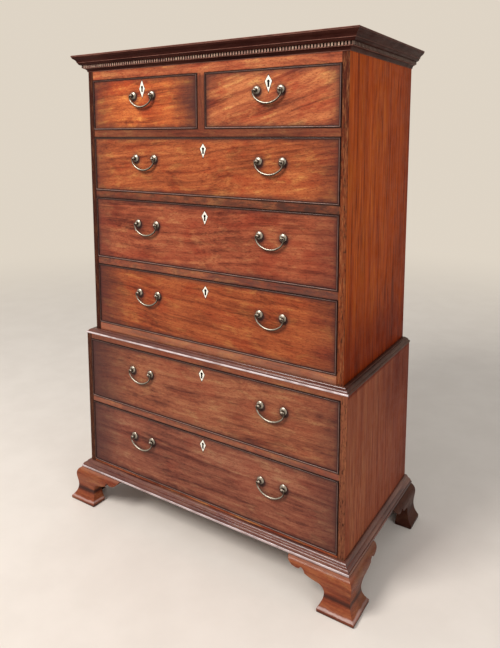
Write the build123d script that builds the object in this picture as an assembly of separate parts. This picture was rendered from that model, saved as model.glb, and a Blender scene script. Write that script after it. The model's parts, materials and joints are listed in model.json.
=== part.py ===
"""Chest on chest: two cases of drawers, one standing on the other, on ogee bracket feet.

Millimetres, +Z up, fronts facing -Y. The origin is on the floor, at the middle of the
outline that the feet and the back enclose. Every timber, casting and lock part is a
solid of its own, and each file in parts/ holds the solids of one named sub-part.
"""

import os
from math import sqrt
from build123d import *

# Cases
CASE_WIDTH = 1020.0  # lower case, over its side boards
CASE_DEPTH = 530.0  # lower case, front face to back face
SETBACK = 24.0  # the upper case stands in by this much at the front and at both sides
SIDE_THICKNESS = 22.0
BOARD_THICKNESS = 18.0  # top and bottom boards
BACK_THICKNESS = 12.0
BACK_REBATE = 10.0  # how far the back boards reach into each side board
BACK_BOARDS = 4  # upright boards in the back of each case
BACK_JOINT = 0.6  # gap between two back boards
HOUSING = 8.0  # depth of the grooves that hold the top and bottom boards

# Drawer rows, from the lowest one up, and the rails between them
LOWER_ROWS = (226.0, 214.0)
UPPER_ROWS = (214.5, 211.5, 183.0, 167.0)
LOWER_BASE_RAIL = 34.0
LOWER_RAIL = 22.0
LOWER_TOP_RAIL = 19.0
UPPER_BASE_RAIL = 42.0
UPPER_RAIL = 26.0
UPPER_TOP_RAIL = 78.0
RAIL_DEPTH = 60.0  # rails that lie flat between two rows
FACE_RAIL_DEPTH = 22.0  # rails that stand on edge above and below the rows
MUNTIN_WIDTH = 29.0
TENON_LENGTH = 12.0
TENON_SHOULDER = 4.0  # shoulder above and below a tenon
TENON_INSET = 9.0  # shoulder at the front and back of a rail's tenon
MUNTIN_TENON = 7.0

# Runners and dust boards
RUNNER_WIDTH = 42.0
CENTRE_RUNNER_WIDTH = 90.0
GUIDE_HEIGHT = 16.0
KICKER_HEIGHT = 24.0
DUST_BOARD = 8.0
DUST_TONGUE = 6.0
RUNNER_BACK_GAP = 6.0  # room behind the runners for the side boards to shrink

# Feet
FOOT_HEIGHT = 121.0
TOE_PROJECTION = 54.0  # the toe stands out this far from the case
TOE_HEIGHT = 11.0
TOE_UNDERCUT = 2.0
NECK_PROJECTION = 35.0
NECK_HEIGHT = 51.0
BULGE_PROJECTION = 39.5
BULGE_HEIGHT = 89.0
FOOT_TOP_PROJECTION = 24.0
BRACKET_INSET = 2.0  # the flat inner face of a bracket lies this far under the case
FRONT_PAD_END = 59.0  # toe's inner end, from the corner of the case
REAR_PAD_END = 82.0  # the same on a rear foot, from the back of the case
WING_LENGTH = 106.0  # from the toe's inner end to the bracket's tip
NECK_RECESS = 14.0  # the neck stands back by this much from the toe's inner end
CORNER_BLOCK = 44.0
CORNER_BLOCK_BOTTOM = 46.0
REAR_BRACKET_THICKNESS = 20.0

# Mouldings
BASE_MOULDING_HEIGHT = 26.0
BASE_MOULDING_PROJECTION = 26.0
WAIST_HEIGHT = 15.0
WAIST_NOSE = 2.5  # the waist moulding oversails the lower case by this much
WAIST_CLEARANCE = 0.5  # the upper case drops in behind the waist moulding with this gap
CORNICE_HEIGHT = 54.0
CORNICE_PROJECTION = 40.5
CORNICE_RISE = 6.0  # the cornice stands this far above the top board
DENTIL_PITCH = 9.65
DENTIL_WIDTH = 5.2
DENTIL_HEIGHT = 9.2
DENTIL_BOTTOM = 12.8  # height of the dentils' lower ends above the cornice's lower edge
DENTIL_BAND = 9.0  # projection of the flat band that carries the dentils
DENTIL_FACE = 15.5  # projection of the dentils' faces
DENTIL_STRIP = 1.6  # thickness of the strip that the dentils are cut from, behind the cuts

# Drawers
DRAWER_GAP = 1.0  # round the edge of a closed front
SLIDE_GAP = 0.3  # under the drawer's sides
FRONT_THICKNESS = 20.0
FRONT_LAP = 10.0  # wood left in front of the dovetails and the lock
DRAWER_SIDE = 10.0
DRAWER_BACK = 10.0
DRAWER_BOTTOM = 8.0
BOTTOM_LIFT = 10.0  # the bottom board lies this far above the runner
BOTTOM_TONGUE = 5.0
SIDE_DROP = 5.0  # the sides stop this far below the row's ceiling
BACK_DROP = 12.0  # the back stops this far below the row's ceiling
DRAWER_BACK_ROOM = 22.0  # between the closed drawer and the case's back boards
BEAD_THICKNESS = 3.2  # cockbead round each drawer front
BEAD_PROUD = 2.5
BEAD_BACKING = 0.5  # the beads' rebate stops this far in front of the dovetails and the lock
BEAD_ROUND = 1.5
TAIL_ROOT = 18.0  # dovetails
TAIL_SPLAY = 2.0
TAIL_SPACING = 38.0

# Handles
POST_SPACING = 80.0
POST_HEAD_RADIUS = 4.8
POST_REACH = 10.0  # from the drawer's face to the bail's axis
POST_NECK_RADIUS = 3.2
ROSE_RADIUS = 12.0
ROSE_RIM = 1.4  # thickness of the rose at its edge
ROSE_LIP = 1.0  # how far the rose's slanted lip goes in from its edge
ROSE_LIP_RISE = 0.6
ROSE_SWELL_RADIUS = 7.8  # of the dome where it is fullest
ROSE_SWELL_DROP = 1.0  # below the dome's top
ROSE_HEIGHT = 5.2  # height of the rose's dome where it meets the neck
SHANK_RADIUS = 2.5
SHANK_HOLE_GAP = 0.25
NUT_SIZE = 11.0
NUT_THICKNESS = 4.0
NUT_GAP = 0.05
SHANK_END = 2.0  # the shank passes through its nut by this much
PIN_RADIUS = 1.6
PIN_GAP = 0.05
PIN_DEPTH = 2.0  # the bail's pin reaches this far past the post's centre line
PIN_END_GAP = 0.8
BAIL_LEG_RADIUS = 2.0
BAIL_ROD_RADIUS = 2.4  # where the shoulder meets the belly
BAIL_BELLY_RADIUS = 3.0  # thickest, at the bail's middle
BAIL_BEND = 2.6
BAIL_CLEARANCE = 0.1  # between a post's head and the start of the bend
BAIL_DROP = 38.0
BAIL_SHOULDER_RADIUS = 28.0

# Locks and escutcheons
LOCK_NUT_GAP = 4.5  # a lock fits between the nuts of a centre handle with this gap
LOCK_HEIGHT = 58.0
LOCK_WALL = 1.5
BOLT_WIDTH = 28.0
BOLT_HEIGHT = 15.0
BOLT_ROOM = 1.0  # inside the lock, in front of and behind the bolt
BOLT_GAP = 0.4
BOLT_TRAVEL = 8.0
MORTISE_GAP = 1.5
ESCUTCHEON_WIDTH = 23.0
ESCUTCHEON_DEPTH = 2.0
KEYHOLE_RADIUS = 4.2
KEYHOLE_SLOT = 5.6
KEYHOLE_HEIGHT = 20.0

# Places worked out from the sizes above
OVERALL_DEPTH = CASE_DEPTH + TOE_PROJECTION
BACK = OVERALL_DEPTH / 2
BACK_INNER = BACK - BACK_THICKNESS
LOCK_WIDTH = POST_SPACING - NUT_SIZE - 2 * LOCK_NUT_GAP
LOCK_DEPTH = FRONT_THICKNESS - FRONT_LAP
BOLT_THICKNESS = LOCK_DEPTH - 2 * (LOCK_WALL + BOLT_ROOM)
BEAD_REBATE = FRONT_LAP - BEAD_BACKING


class Case:
    """Where one case's faces, rails and drawer rows lie."""

    def __init__(self, width, front, bottom, rows, base_rail, rail, top_rail):
        self.half = width / 2
        self.inner = self.half - SIDE_THICKNESS
        self.front = front
        self.bottom = bottom
        self.rail = rail
        self.rows = []
        level = bottom + base_rail
        for height in rows:
            self.rows.append((level, level + height))
            level += height + rail
        self.top = self.rows[-1][1] + top_rail


LOWER = Case(
    CASE_WIDTH, BACK - CASE_DEPTH, FOOT_HEIGHT, LOWER_ROWS, LOWER_BASE_RAIL, LOWER_RAIL, LOWER_TOP_RAIL
)
UPPER = Case(
    CASE_WIDTH - 2 * SETBACK,
    LOWER.front + SETBACK,
    LOWER.top,
    UPPER_ROWS,
    UPPER_BASE_RAIL,
    UPPER_RAIL,
    UPPER_TOP_RAIL,
)
CORNICE_BOTTOM = UPPER.top + CORNICE_RISE - CORNICE_HEIGHT


class Drawer:
    """One drawer: its opening, and where its furniture sits."""

    def __init__(
        self, name, case, row, bay, shift, handle_drop, handle_spread, plate_drop, plate_height, plate_waist
    ):
        self.name = name
        self.case = case
        self.floor, self.ceiling = case.rows[row]
        half_muntin = MUNTIN_WIDTH / 2
        spans = {
            "full": (-case.inner, case.inner),
            "left": (-case.inner, -half_muntin),
            "right": (half_muntin, case.inner),
        }
        self.left, self.right = spans[bay]
        self.middle = (self.left + self.right) / 2 + shift
        self.handle_z = self.ceiling - handle_drop
        self.handles = {"bail": self.middle}
        if handle_spread:
            self.handles = {
                "bail_left": self.middle - handle_spread,
                "bail_right": self.middle + handle_spread,
            }
        self.plate_z = self.ceiling - plate_drop
        self.plate_height = plate_height
        self.plate_waist = plate_waist


# name, case, row from below, bay, furniture's middle to the right of the bay's, handle below ceiling,
# handles from middle (0 for one handle), escutcheon's middle below ceiling, escutcheon's height,
# height of its widest place as a share
DRAWERS = (
    Drawer("drawer_1", UPPER, 3, "left", 0.0, 57.0, 0.0, 37.0, 56.0, 0.50),
    Drawer("drawer_2", UPPER, 3, "right", 0.0, 59.0, 0.0, 42.0, 48.0, 0.64),
    Drawer("drawer_3", UPPER, 2, "full", 6.0, 69.0, 240.0, 41.0, 43.0, 0.64),
    Drawer("drawer_4", UPPER, 1, "full", 10.0, 78.0, 240.0, 40.0, 42.0, 0.62),
    Drawer("drawer_5", UPPER, 0, "full", 10.0, 79.0, 240.0, 40.0, 40.0, 0.60),
    Drawer("drawer_6", LOWER, 1, "full", 10.0, 75.0, 259.0, 31.0, 40.0, 0.60),
    Drawer("drawer_7", LOWER, 0, "full", 12.0, 80.0, 259.0, 32.0, 40.0, 0.60),
)


# Shapes used by several sub-parts


def block(x_range, y_range, z_range):
    """A squared timber that fills three ranges."""
    size = [high - low for low, high in (x_range, y_range, z_range)]
    middle = [(high + low) / 2 for low, high in (x_range, y_range, z_range)]
    return Pos(*middle) * Box(*size)


def upright_prism(points, z_range):
    """A polygon drawn in plan, carried from the first height to the second."""
    face = make_face(Polyline(*points, close=True))
    return extrude(Pos(0, 0, z_range[0]) * face, z_range[1] - z_range[0])


def rod(start, direction, radius, length):
    """A round rod from a point, along a direction."""
    return extrude(Plane(origin=start, z_dir=direction) * Circle(radius), length)


def write(node, solids):
    """One sub-part's solids, written to its own file."""
    export_step(Compound(label=node, children=list(solids)), f"parts/{node}.step")


# Side boards, top and bottom boards, backs


def tenon_ranges(case, depth, low, high):
    """Depth and height that a rail's tenon fills, inside its shoulders."""
    inset = min(TENON_INSET, depth / 4)
    return (case.front + inset, case.front + depth - inset), (low + TENON_SHOULDER, high - TENON_SHOULDER)


def rail_levels(case):
    """Depth, underside and top of each rail, from the base rail up."""
    levels = [(FACE_RAIL_DEPTH, case.bottom, case.rows[0][0])]
    for below, above in zip(case.rows, case.rows[1:]):
        levels.append((RAIL_DEPTH, below[1], above[0]))
    top_depth = FACE_RAIL_DEPTH if case is UPPER else RAIL_DEPTH
    levels.append((top_depth, case.rows[-1][1], case.top))
    return levels


def board_ranges(case):
    """Depth and height of the bottom board and of the top board."""
    bottom_level = case.rows[0][0]
    top_level = case.top - min(BOARD_THICKNESS, case.top - case.rows[-1][1])
    top_front = case.front + rail_levels(case)[-1][0]
    return (
        ((case.front + FACE_RAIL_DEPTH, BACK_INNER), (bottom_level - BOARD_THICKNESS, bottom_level)),
        ((top_front, BACK_INNER), (top_level, case.top)),
    )


def side_board(case):
    """Right-hand side board, with mortises, housings and the rebate for the back."""
    board = block((case.inner, case.half), (case.front, BACK), (case.bottom, case.top))
    board -= block((case.inner, case.inner + BACK_REBATE), (BACK_INNER, BACK), (case.bottom, case.top))
    for depth, low, high in rail_levels(case):
        y_range, z_range = tenon_ranges(case, depth, low, high)
        board -= block((case.inner, case.inner + TENON_LENGTH), y_range, z_range)
    for y_range, z_range in board_ranges(case):
        board -= block((case.inner, case.inner + HOUSING), y_range, z_range)
    return board


def case_boards(case):
    """Bottom board and top board, reaching into their housings."""
    reach = case.inner + HOUSING
    return [block((-reach, reach), y_range, z_range) for y_range, z_range in board_ranges(case)]


def back_boards(case):
    """Upright boards side by side in the rebates."""
    reach = case.inner + BACK_REBATE
    pitch = 2 * reach / BACK_BOARDS
    boards = []
    for index in range(BACK_BOARDS):
        left = -reach + index * pitch
        right = left + pitch
        if index:
            left += BACK_JOINT / 2
        if index < BACK_BOARDS - 1:
            right -= BACK_JOINT / 2
        boards.append(block((left, right), (BACK_INNER, BACK), (case.bottom, case.top)))
    return boards


# Rails, muntin, runners and dust boards


def bolt_ranges(drawer):
    """Width and depth that a drawer's lock bolt fills."""
    half = BOLT_WIDTH / 2
    middle_y = drawer.case.front + FRONT_THICKNESS - LOCK_DEPTH / 2
    half_y = BOLT_THICKNESS / 2
    return (drawer.middle - half, drawer.middle + half), (middle_y - half_y, middle_y + half_y)


def grown(span, margin):
    """A range made wider by a margin at both ends."""
    return span[0] - margin, span[1] + margin


def bolt_mortise(drawer):
    """The pocket above a drawer that its lock bolt shoots into."""
    x_range, y_range = bolt_ranges(drawer)
    top = drawer.ceiling + BOLT_TRAVEL - DRAWER_GAP + MORTISE_GAP
    return block(grown(x_range, MORTISE_GAP), grown(y_range, MORTISE_GAP), (drawer.ceiling, top))


def front_rails(case):
    """Rails across the front, tenoned into the sides and cut for the lock bolts."""
    rails = []
    for depth, low, high in rail_levels(case):
        rail = block((-case.inner, case.inner), (case.front, case.front + depth), (low, high))
        reach = case.inner + TENON_LENGTH
        rail += block((-reach, reach), *tenon_ranges(case, depth, low, high))
        for drawer in DRAWERS:
            if drawer.case is case and drawer.ceiling == low:
                rail -= bolt_mortise(drawer)
        rails.append(rail)
    return rails


def muntin_tenon(level):
    """Stub tenon at one end of the muntin, centred on that height."""
    half = MUNTIN_WIDTH / 2 - TENON_SHOULDER
    depth = FACE_RAIL_DEPTH / 4
    return block(
        (-half, half),
        (UPPER.front + depth, UPPER.front + 3 * depth),
        (level - MUNTIN_TENON, level + MUNTIN_TENON),
    )


def muntin():
    """Upright between the two short drawers."""
    low, high = UPPER.rows[-1]
    half = MUNTIN_WIDTH / 2
    post = block((-half, half), (UPPER.front, UPPER.front + RAIL_DEPTH), (low, high))
    return post + muntin_tenon(low) + muntin_tenon(high)


def runner_spans(case, divided):
    """Left and right edge of each runner at one level."""
    spans = [(-case.inner, -case.inner + RUNNER_WIDTH), (case.inner - RUNNER_WIDTH, case.inner)]
    if divided:
        half = CENTRE_RUNNER_WIDTH / 2
        spans.insert(1, (-half, half))
    return spans


def runners_and_dust_boards(case):
    """Runners behind each flat rail, and the thin boards grooved between them."""
    start = case.front + RAIL_DEPTH
    end = BACK_INNER - RUNNER_BACK_GAP
    pieces = []
    for below, above in zip(case.rows, case.rows[1:]):
        low, high = below[1], above[0]
        divided = case is UPPER and above is case.rows[-1]
        spans = runner_spans(case, divided)
        middle = (low + high) / 2
        panel_z = (middle - DUST_BOARD / 2, middle + DUST_BOARD / 2)
        panels = []
        for first, second in zip(spans, spans[1:]):
            panels.append(block((first[1] - DUST_TONGUE, second[0] + DUST_TONGUE), (start, end), panel_z))
        for span in spans:
            runner = block(span, (start, end), (low, high))
            for panel in panels:
                runner -= panel
            pieces.append(runner)
        pieces += panels
    return pieces


def short_drawer_guides():
    """Guide between the short drawers, and the kickers above them."""
    floor, ceiling = UPPER.rows[-1]
    half = MUNTIN_WIDTH / 2
    start = UPPER.front + RAIL_DEPTH
    end = BACK_INNER - RUNNER_BACK_GAP
    pieces = [block((-half, half), (start, end), (floor, floor + GUIDE_HEIGHT))]
    for span in runner_spans(UPPER, True):
        pieces.append(block(span, (UPPER.front + FACE_RAIL_DEPTH, end), (ceiling, ceiling + KICKER_HEIGHT)))
    return pieces


# Mouldings


def mitred_lengths(outline, half_width, front):
    """Front, right and left lengths of a moulding, mitred at the two front corners.

    The outline is drawn with projection along its X and height along its Y. The plan
    shapes that cut the mitres run out along a line at 45 degrees, past the moulding.
    """
    reach = 2 * outline.bounding_box().max.X
    tall = (0, UPPER.top + CORNICE_HEIGHT)
    corner = (half_width, front)
    tip = (half_width + reach, front - reach)
    front_plane = Plane(origin=(0, front, 0), x_dir=(0, -1, 0), z_dir=(-1, 0, 0))
    side_plane = Plane(origin=(half_width, BACK, 0), x_dir=(1, 0, 0), z_dir=(0, -1, 0))
    across = extrude(front_plane * outline, half_width + reach, both=True)
    along = extrude(side_plane * outline, BACK - front + reach)
    across &= upright_prism([(-corner[0], corner[1]), corner, tip, (-tip[0], tip[1])], tall)
    along &= upright_prism([corner, tip, (tip[0], BACK), (corner[0], BACK)], tall)
    return [across, along, mirror(along, about=Plane.YZ)]


def base_moulding_outline():
    """Quirked bead over an ovolo and a rounded fascia."""
    low = FOOT_HEIGHT
    high = low + BASE_MOULDING_HEIGHT
    nose = BASE_MOULDING_PROJECTION
    lines = [
        Line((0, low), (nose - 2, low)),
        ThreePointArc((nose - 2, low), (nose, low + 4), (nose - 2, low + 8)),
        Line((nose - 2, low + 8), (nose - 4, low + 8)),
        ThreePointArc((nose - 4, low + 8), (nose - 6.4, low + 14.4), (nose - 12.5, low + 17)),
        Line((nose - 12.5, low + 17), (nose - 14, low + 18.5)),
        ThreePointArc((nose - 14, low + 18.5), (nose - 16.5, low + 23), (nose - 21, high)),
        Line((nose - 21, high), (0, high)),
        Line((0, high), (0, low)),
    ]
    return make_face(lines)


def waist_moulding_outline():
    """Nosing over the lower case, with a smaller round above it against the upper case."""
    low = LOWER.top
    high = low + WAIST_HEIGHT
    nose = SETBACK + WAIST_NOSE - WAIST_CLEARANCE
    lines = [
        Line((0, low), (nose - 1, low)),
        ThreePointArc((nose - 1, low), (nose, low + 3), (nose - 2.5, low + 6)),
        Line((nose - 2.5, low + 6), (nose - 5, low + 6.5)),
        ThreePointArc((nose - 5, low + 6.5), (nose - 8.5, low + 11.5), (nose - 16, high - 1.5)),
        Line((nose - 16, high - 1.5), (nose - 17, high)),
        Line((nose - 17, high), (0, high)),
        Line((0, high), (0, low)),
    ]
    return make_face(lines)


def cornice_outline():
    """Cove, flat band for the dentils, ovolo, and a cyma under the top fillet."""
    low = CORNICE_BOTTOM
    high = low + CORNICE_HEIGHT
    tip = CORNICE_PROJECTION
    band_top = low + DENTIL_BOTTOM + DENTIL_HEIGHT
    lines = [
        Line((0, low), (1.5, low)),
        Line((1.5, low), (2.5, low + 2.5)),
        ThreePointArc((2.5, low + 2.5), (5, low + 8), (11.5, low + 11)),
        Line((11.5, low + 11), (12, low + DENTIL_BOTTOM)),
        Line((12, low + DENTIL_BOTTOM), (DENTIL_BAND, low + DENTIL_BOTTOM)),
        Line((DENTIL_BAND, low + DENTIL_BOTTOM), (DENTIL_BAND, band_top)),
        Line((DENTIL_BAND, band_top), (17.5, band_top)),
        ThreePointArc((17.5, band_top), (22.5, band_top + 2.8), (25, band_top + 8)),
        Line((25, band_top + 8), (27, band_top + 8)),
        Line((27, band_top + 8), (27, band_top + 10.5)),
        ThreePointArc((27, band_top + 10.5), (29.5, band_top + 15.5), (33, band_top + 19)),
        ThreePointArc((33, band_top + 19), (37, band_top + 22), (tip - 1, high - 5)),
        Line((tip - 1, high - 5), (tip, high - 5)),
        Line((tip, high - 5), (tip, high)),
        Line((tip, high), (0, high)),
        Line((0, high), (0, low)),
    ]
    return make_face(lines)


def comb(length):
    """Plan of a dentil strip along +X: teeth towards -Y, one at each end."""
    teeth = round((length - DENTIL_WIDTH) / DENTIL_PITCH)
    step = (length - DENTIL_WIDTH) / teeth
    depth = DENTIL_FACE - DENTIL_BAND
    points = [(0, 0), (0, -depth)]
    for index in range(teeth):
        left = index * step
        points += [(left + DENTIL_WIDTH, -depth), (left + DENTIL_WIDTH, -DENTIL_STRIP)]
        points += [(left + step, -DENTIL_STRIP), (left + step, -depth)]
    points += [(length, -depth), (length, 0)]
    return points


def dentil_strips():
    """Front strip from corner to corner, and a strip behind it on each side."""
    low = CORNICE_BOTTOM + DENTIL_BOTTOM
    z_range = (low, low + DENTIL_HEIGHT)
    half = UPPER.half + DENTIL_FACE
    band_front = UPPER.front - DENTIL_BAND
    front = Pos(-half, band_front, 0) * upright_prism(comb(2 * half), z_range)
    strip = upright_prism(comb(BACK - band_front), z_range)
    right = Pos(UPPER.half + DENTIL_BAND, band_front, 0) * Rot(0, 0, 90) * strip
    return [front, right, mirror(right, about=Plane.YZ)]


# Feet


def ogee_outline():
    """Section of a bracket: projection from the case along X, height along Y."""
    toe = TOE_PROJECTION
    inner = -BRACKET_INSET
    crest = (toe - TOE_UNDERCUT, TOE_HEIGHT + TOE_UNDERCUT)
    lines = [
        Line((inner, 0), (toe - TOE_UNDERCUT, 0)),
        Line((toe - TOE_UNDERCUT, 0), (toe, TOE_UNDERCUT)),
        Line((toe, TOE_UNDERCUT), (toe, TOE_HEIGHT)),
        Line((toe, TOE_HEIGHT), crest),
        Spline(
            crest,
            (NECK_PROJECTION, NECK_HEIGHT),
            (BULGE_PROJECTION, BULGE_HEIGHT),
            (FOOT_TOP_PROJECTION, FOOT_HEIGHT),
            tangents=[(-1, 0.9), (-1, 0.45)],
        ),
        Line((FOOT_TOP_PROJECTION, FOOT_HEIGHT), (inner, FOOT_HEIGHT)),
        Line((inner, FOOT_HEIGHT), (inner, 0)),
    ]
    return make_face(lines)


def bracket_outline(start, pad_end):
    """Elevation of a bracket: distance inwards along X, height along Y, with two cusps."""
    top = FOOT_HEIGHT
    tip = pad_end + WING_LENGTH
    neck = (pad_end - NECK_RECESS, NECK_HEIGHT + 4)
    hollow = (pad_end + 4, top - 43)
    first_cusp = (pad_end + 47, top - 31)
    notch = (pad_end + 60, top - 16)
    second_cusp = (pad_end + 74, top - 23)
    lines = [
        Line((start, 0), (pad_end, 0)),
        Line((pad_end, 0), (pad_end + 1, TOE_HEIGHT)),
        ThreePointArc((pad_end + 1, TOE_HEIGHT), (pad_end - 10, NECK_HEIGHT / 2 + 6), neck),
        ThreePointArc(neck, (pad_end - 8, top - 52), hollow),
        ThreePointArc(hollow, (pad_end + 26, top - 39), first_cusp),
        ThreePointArc(first_cusp, (pad_end + 51, top - 21), notch),
        ThreePointArc(notch, (pad_end + 66, top - 22), second_cusp),
        ThreePointArc(second_cusp, (pad_end + 92, top - 18), (tip, top - 4)),
        Line((tip, top - 4), (tip, top)),
        Line((tip, top), (start, top)),
        Line((start, top), (start, 0)),
    ]
    return make_face(lines)


# Planes for a foot at the right-hand side: a section across the side bracket, and elevations
SIDE_SECTION = Plane(origin=(LOWER.half, BACK, 0), x_dir=(1, 0, 0), z_dir=(0, -1, 0))
FRONT_SECTION = Plane(origin=(LOWER.half, LOWER.front, 0), x_dir=(0, -1, 0), z_dir=(-1, 0, 0))
FRONT_ELEVATION = Plane(origin=(LOWER.half, LOWER.front, 0), x_dir=(-1, 0, 0), z_dir=(0, 1, 0))
FRONT_FOOT_SIDE = Plane(origin=(LOWER.half, LOWER.front, 0), x_dir=(0, 1, 0), z_dir=(1, 0, 0))
REAR_FOOT_SIDE = Plane(origin=(LOWER.half, BACK, 0), x_dir=(0, -1, 0), z_dir=(-1, 0, 0))
REAR_ELEVATION = Plane(origin=(LOWER.half, BACK, 0), x_dir=(-1, 0, 0), z_dir=(0, 1, 0))


def mitre_half(front_side):
    """Plan of the foot's corner on one side of the mitre, run out along a line at 45 degrees."""
    far = TOE_PROJECTION + CASE_DEPTH
    x, y = LOWER.half, LOWER.front
    inner = (x - far, y + far)
    outer = (x + far, y - far)
    third = (x - far, y - far) if front_side else (x + far, y + far)
    return upright_prism([inner, outer, third], (0, FOOT_HEIGHT))


def corner_block(y_start, y_end):
    """Square glue block behind two brackets, up to the underside of the case."""
    outer = LOWER.half - BRACKET_INSET
    return block((outer - CORNER_BLOCK, outer), (y_start, y_end), (CORNER_BLOCK_BOTTOM, FOOT_HEIGHT))


def front_foot():
    """Right-hand front foot: two ogee brackets mitred together, and their block."""
    length = CASE_DEPTH
    across = extrude(FRONT_SECTION * ogee_outline(), TOE_PROJECTION + length, both=True)
    along = extrude(SIDE_SECTION * ogee_outline(), TOE_PROJECTION + length)
    elevation = bracket_outline(-TOE_PROJECTION, FRONT_PAD_END)
    across &= extrude(FRONT_ELEVATION * elevation, TOE_PROJECTION, both=True)
    along &= extrude(FRONT_FOOT_SIDE * elevation, TOE_PROJECTION, both=True)
    start = LOWER.front + BRACKET_INSET
    return [
        across & mitre_half(True),
        along & mitre_half(False),
        corner_block(start, start + CORNER_BLOCK),
    ]


def rear_foot():
    """Right-hand rear foot: an ogee bracket along the side, and a plain one across the back."""
    along = extrude(SIDE_SECTION * ogee_outline(), CASE_DEPTH)
    along &= extrude(REAR_FOOT_SIDE * bracket_outline(0, REAR_PAD_END), TOE_PROJECTION, both=True)
    plain = extrude(REAR_ELEVATION * bracket_outline(BRACKET_INSET, FRONT_PAD_END), -REAR_BRACKET_THICKNESS)
    end = BACK - REAR_BRACKET_THICKNESS
    return [along, plain, corner_block(end - CORNER_BLOCK, end)]


# Drawers


def keyhole(drawer, y_range):
    """A round hole over a slot, in line with the lock."""
    middle_z = drawer.plate_z
    top = middle_z + KEYHOLE_HEIGHT / 2 - KEYHOLE_RADIUS
    half = KEYHOLE_SLOT / 2
    hole = rod((drawer.middle, y_range[0], top), (0, 1, 0), KEYHOLE_RADIUS, y_range[1] - y_range[0])
    slot = block(
        (drawer.middle - half, drawer.middle + half), y_range, (middle_z - KEYHOLE_HEIGHT / 2, top)
    )
    return hole + slot


def escutcheon(drawer):
    """Kite-shaped bone plate, let in flush with the drawer front."""
    half = ESCUTCHEON_WIDTH / 2
    low = drawer.plate_z - drawer.plate_height / 2
    points = [
        (drawer.middle, low),
        (drawer.middle + half, low + drawer.plate_waist * drawer.plate_height),
        (drawer.middle, low + drawer.plate_height),
        (drawer.middle - half, low + drawer.plate_waist * drawer.plate_height),
    ]
    face = make_face(Polyline(*points, close=True))
    elevation = Plane(origin=(0, drawer.case.front, 0), x_dir=(1, 0, 0), z_dir=(0, -1, 0))
    return extrude(elevation * face, -ESCUTCHEON_DEPTH)


def cockbeads(drawer):
    """Four mitred strips round the front, with rounded edges, standing proud of it."""
    case = drawer.case
    outer = (
        drawer.left + DRAWER_GAP,
        drawer.right - DRAWER_GAP,
        drawer.floor + DRAWER_GAP,
        drawer.ceiling - DRAWER_GAP,
    )
    inner = (
        outer[0] + BEAD_THICKNESS,
        outer[1] - BEAD_THICKNESS,
        outer[2] + BEAD_THICKNESS,
        outer[3] - BEAD_THICKNESS,
    )
    rings = []
    for left, right, low, high in (outer, inner):
        rings.append([(left, low), (right, low), (right, high), (left, high)])
    elevation = Plane(origin=(0, case.front - BEAD_PROUD, 0), x_dir=(1, 0, 0), z_dir=(0, -1, 0))
    beads = []
    for index in range(4):
        following = (index + 1) % 4
        outline = [rings[0][index], rings[0][following], rings[1][following], rings[1][index]]
        strip = extrude(elevation * make_face(Polyline(*outline, close=True)), -BEAD_PROUD - BEAD_REBATE)
        nose_edges = strip.edges().group_by(Axis.Y)[0].sort_by(SortBy.LENGTH)[-2:]
        beads.append(fillet(nose_edges, BEAD_ROUND))
    return beads


def tails(x_range, root_y, tip_y, z_range):
    """Dovetails on the end of a drawer side, wider at their tips than at the root."""
    low, high = z_range
    count = max(2, round((high - low) / TAIL_SPACING))
    step = (high - low) / count
    solids = []
    elevation = Plane(origin=(x_range[0], 0, 0), x_dir=(0, 1, 0), z_dir=(1, 0, 0))
    for index in range(count):
        middle = low + (index + 0.5) * step
        root = TAIL_ROOT / 2
        tip = root + TAIL_SPLAY
        outline = [
            (root_y, middle - root),
            (root_y, middle + root),
            (tip_y, middle + tip),
            (tip_y, middle - tip),
        ]
        face = make_face(Polyline(*outline, close=True))
        solids.append(extrude(elevation * face, x_range[1] - x_range[0]))
    return solids


def drawer_pieces(drawer):
    """The front with its beads and escutcheon, and the dovetailed box behind it."""
    case = drawer.case
    face = case.front
    left = drawer.left + DRAWER_GAP
    right = drawer.right - DRAWER_GAP
    low = drawer.floor + DRAWER_GAP
    high = drawer.ceiling - DRAWER_GAP
    front_inner = face + FRONT_THICKNESS
    rear = BACK_INNER - DRAWER_BACK_ROOM
    back_inner = rear - DRAWER_BACK
    side_z = (drawer.floor + SLIDE_GAP, drawer.ceiling - SIDE_DROP)
    bottom_z = (drawer.floor + BOTTOM_LIFT, drawer.floor + BOTTOM_LIFT + DRAWER_BOTTOM)
    back_z = (bottom_z[1], drawer.ceiling - BACK_DROP)

    front = block((left, right), (face, front_inner), (low, high))
    rebate_y = (face, face + BEAD_REBATE)
    ring = block((left, right), rebate_y, (low, high))
    ring -= block(grown((left, right), -BEAD_THICKNESS), rebate_y, grown((low, high), -BEAD_THICKNESS))
    front -= ring

    bottom_x = (left + DRAWER_SIDE - BOTTOM_TONGUE, right - DRAWER_SIDE + BOTTOM_TONGUE)
    bottom = block(bottom_x, (front_inner - BOTTOM_TONGUE, rear), bottom_z)
    back = block((left, right), (back_inner, rear), back_z)
    front -= bottom

    sides = []
    for x_range in ((left, left + DRAWER_SIDE), (right - DRAWER_SIDE, right)):
        side = block(x_range, (front_inner, back_inner), side_z) - bottom
        front_tails = tails(x_range, front_inner, face + FRONT_LAP, (bottom_z[1], side_z[1]))
        back_tails = tails(x_range, back_inner, rear, back_z)
        for tail in front_tails:
            front -= tail
            side += tail
        for tail in back_tails:
            back -= tail
            side += tail
        sides.append(side)

    plate = escutcheon(drawer)
    hole = keyhole(drawer, (face - 1, front_inner))
    front = front - plate - hole - lock_block(drawer)
    for x in post_places(drawer):
        front -= rod((x, face, drawer.handle_z), (0, 1, 0), SHANK_RADIUS + SHANK_HOLE_GAP, FRONT_THICKNESS)
    return [front, *cockbeads(drawer), plate - hole], [*sides, back, bottom]


# Locks


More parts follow.
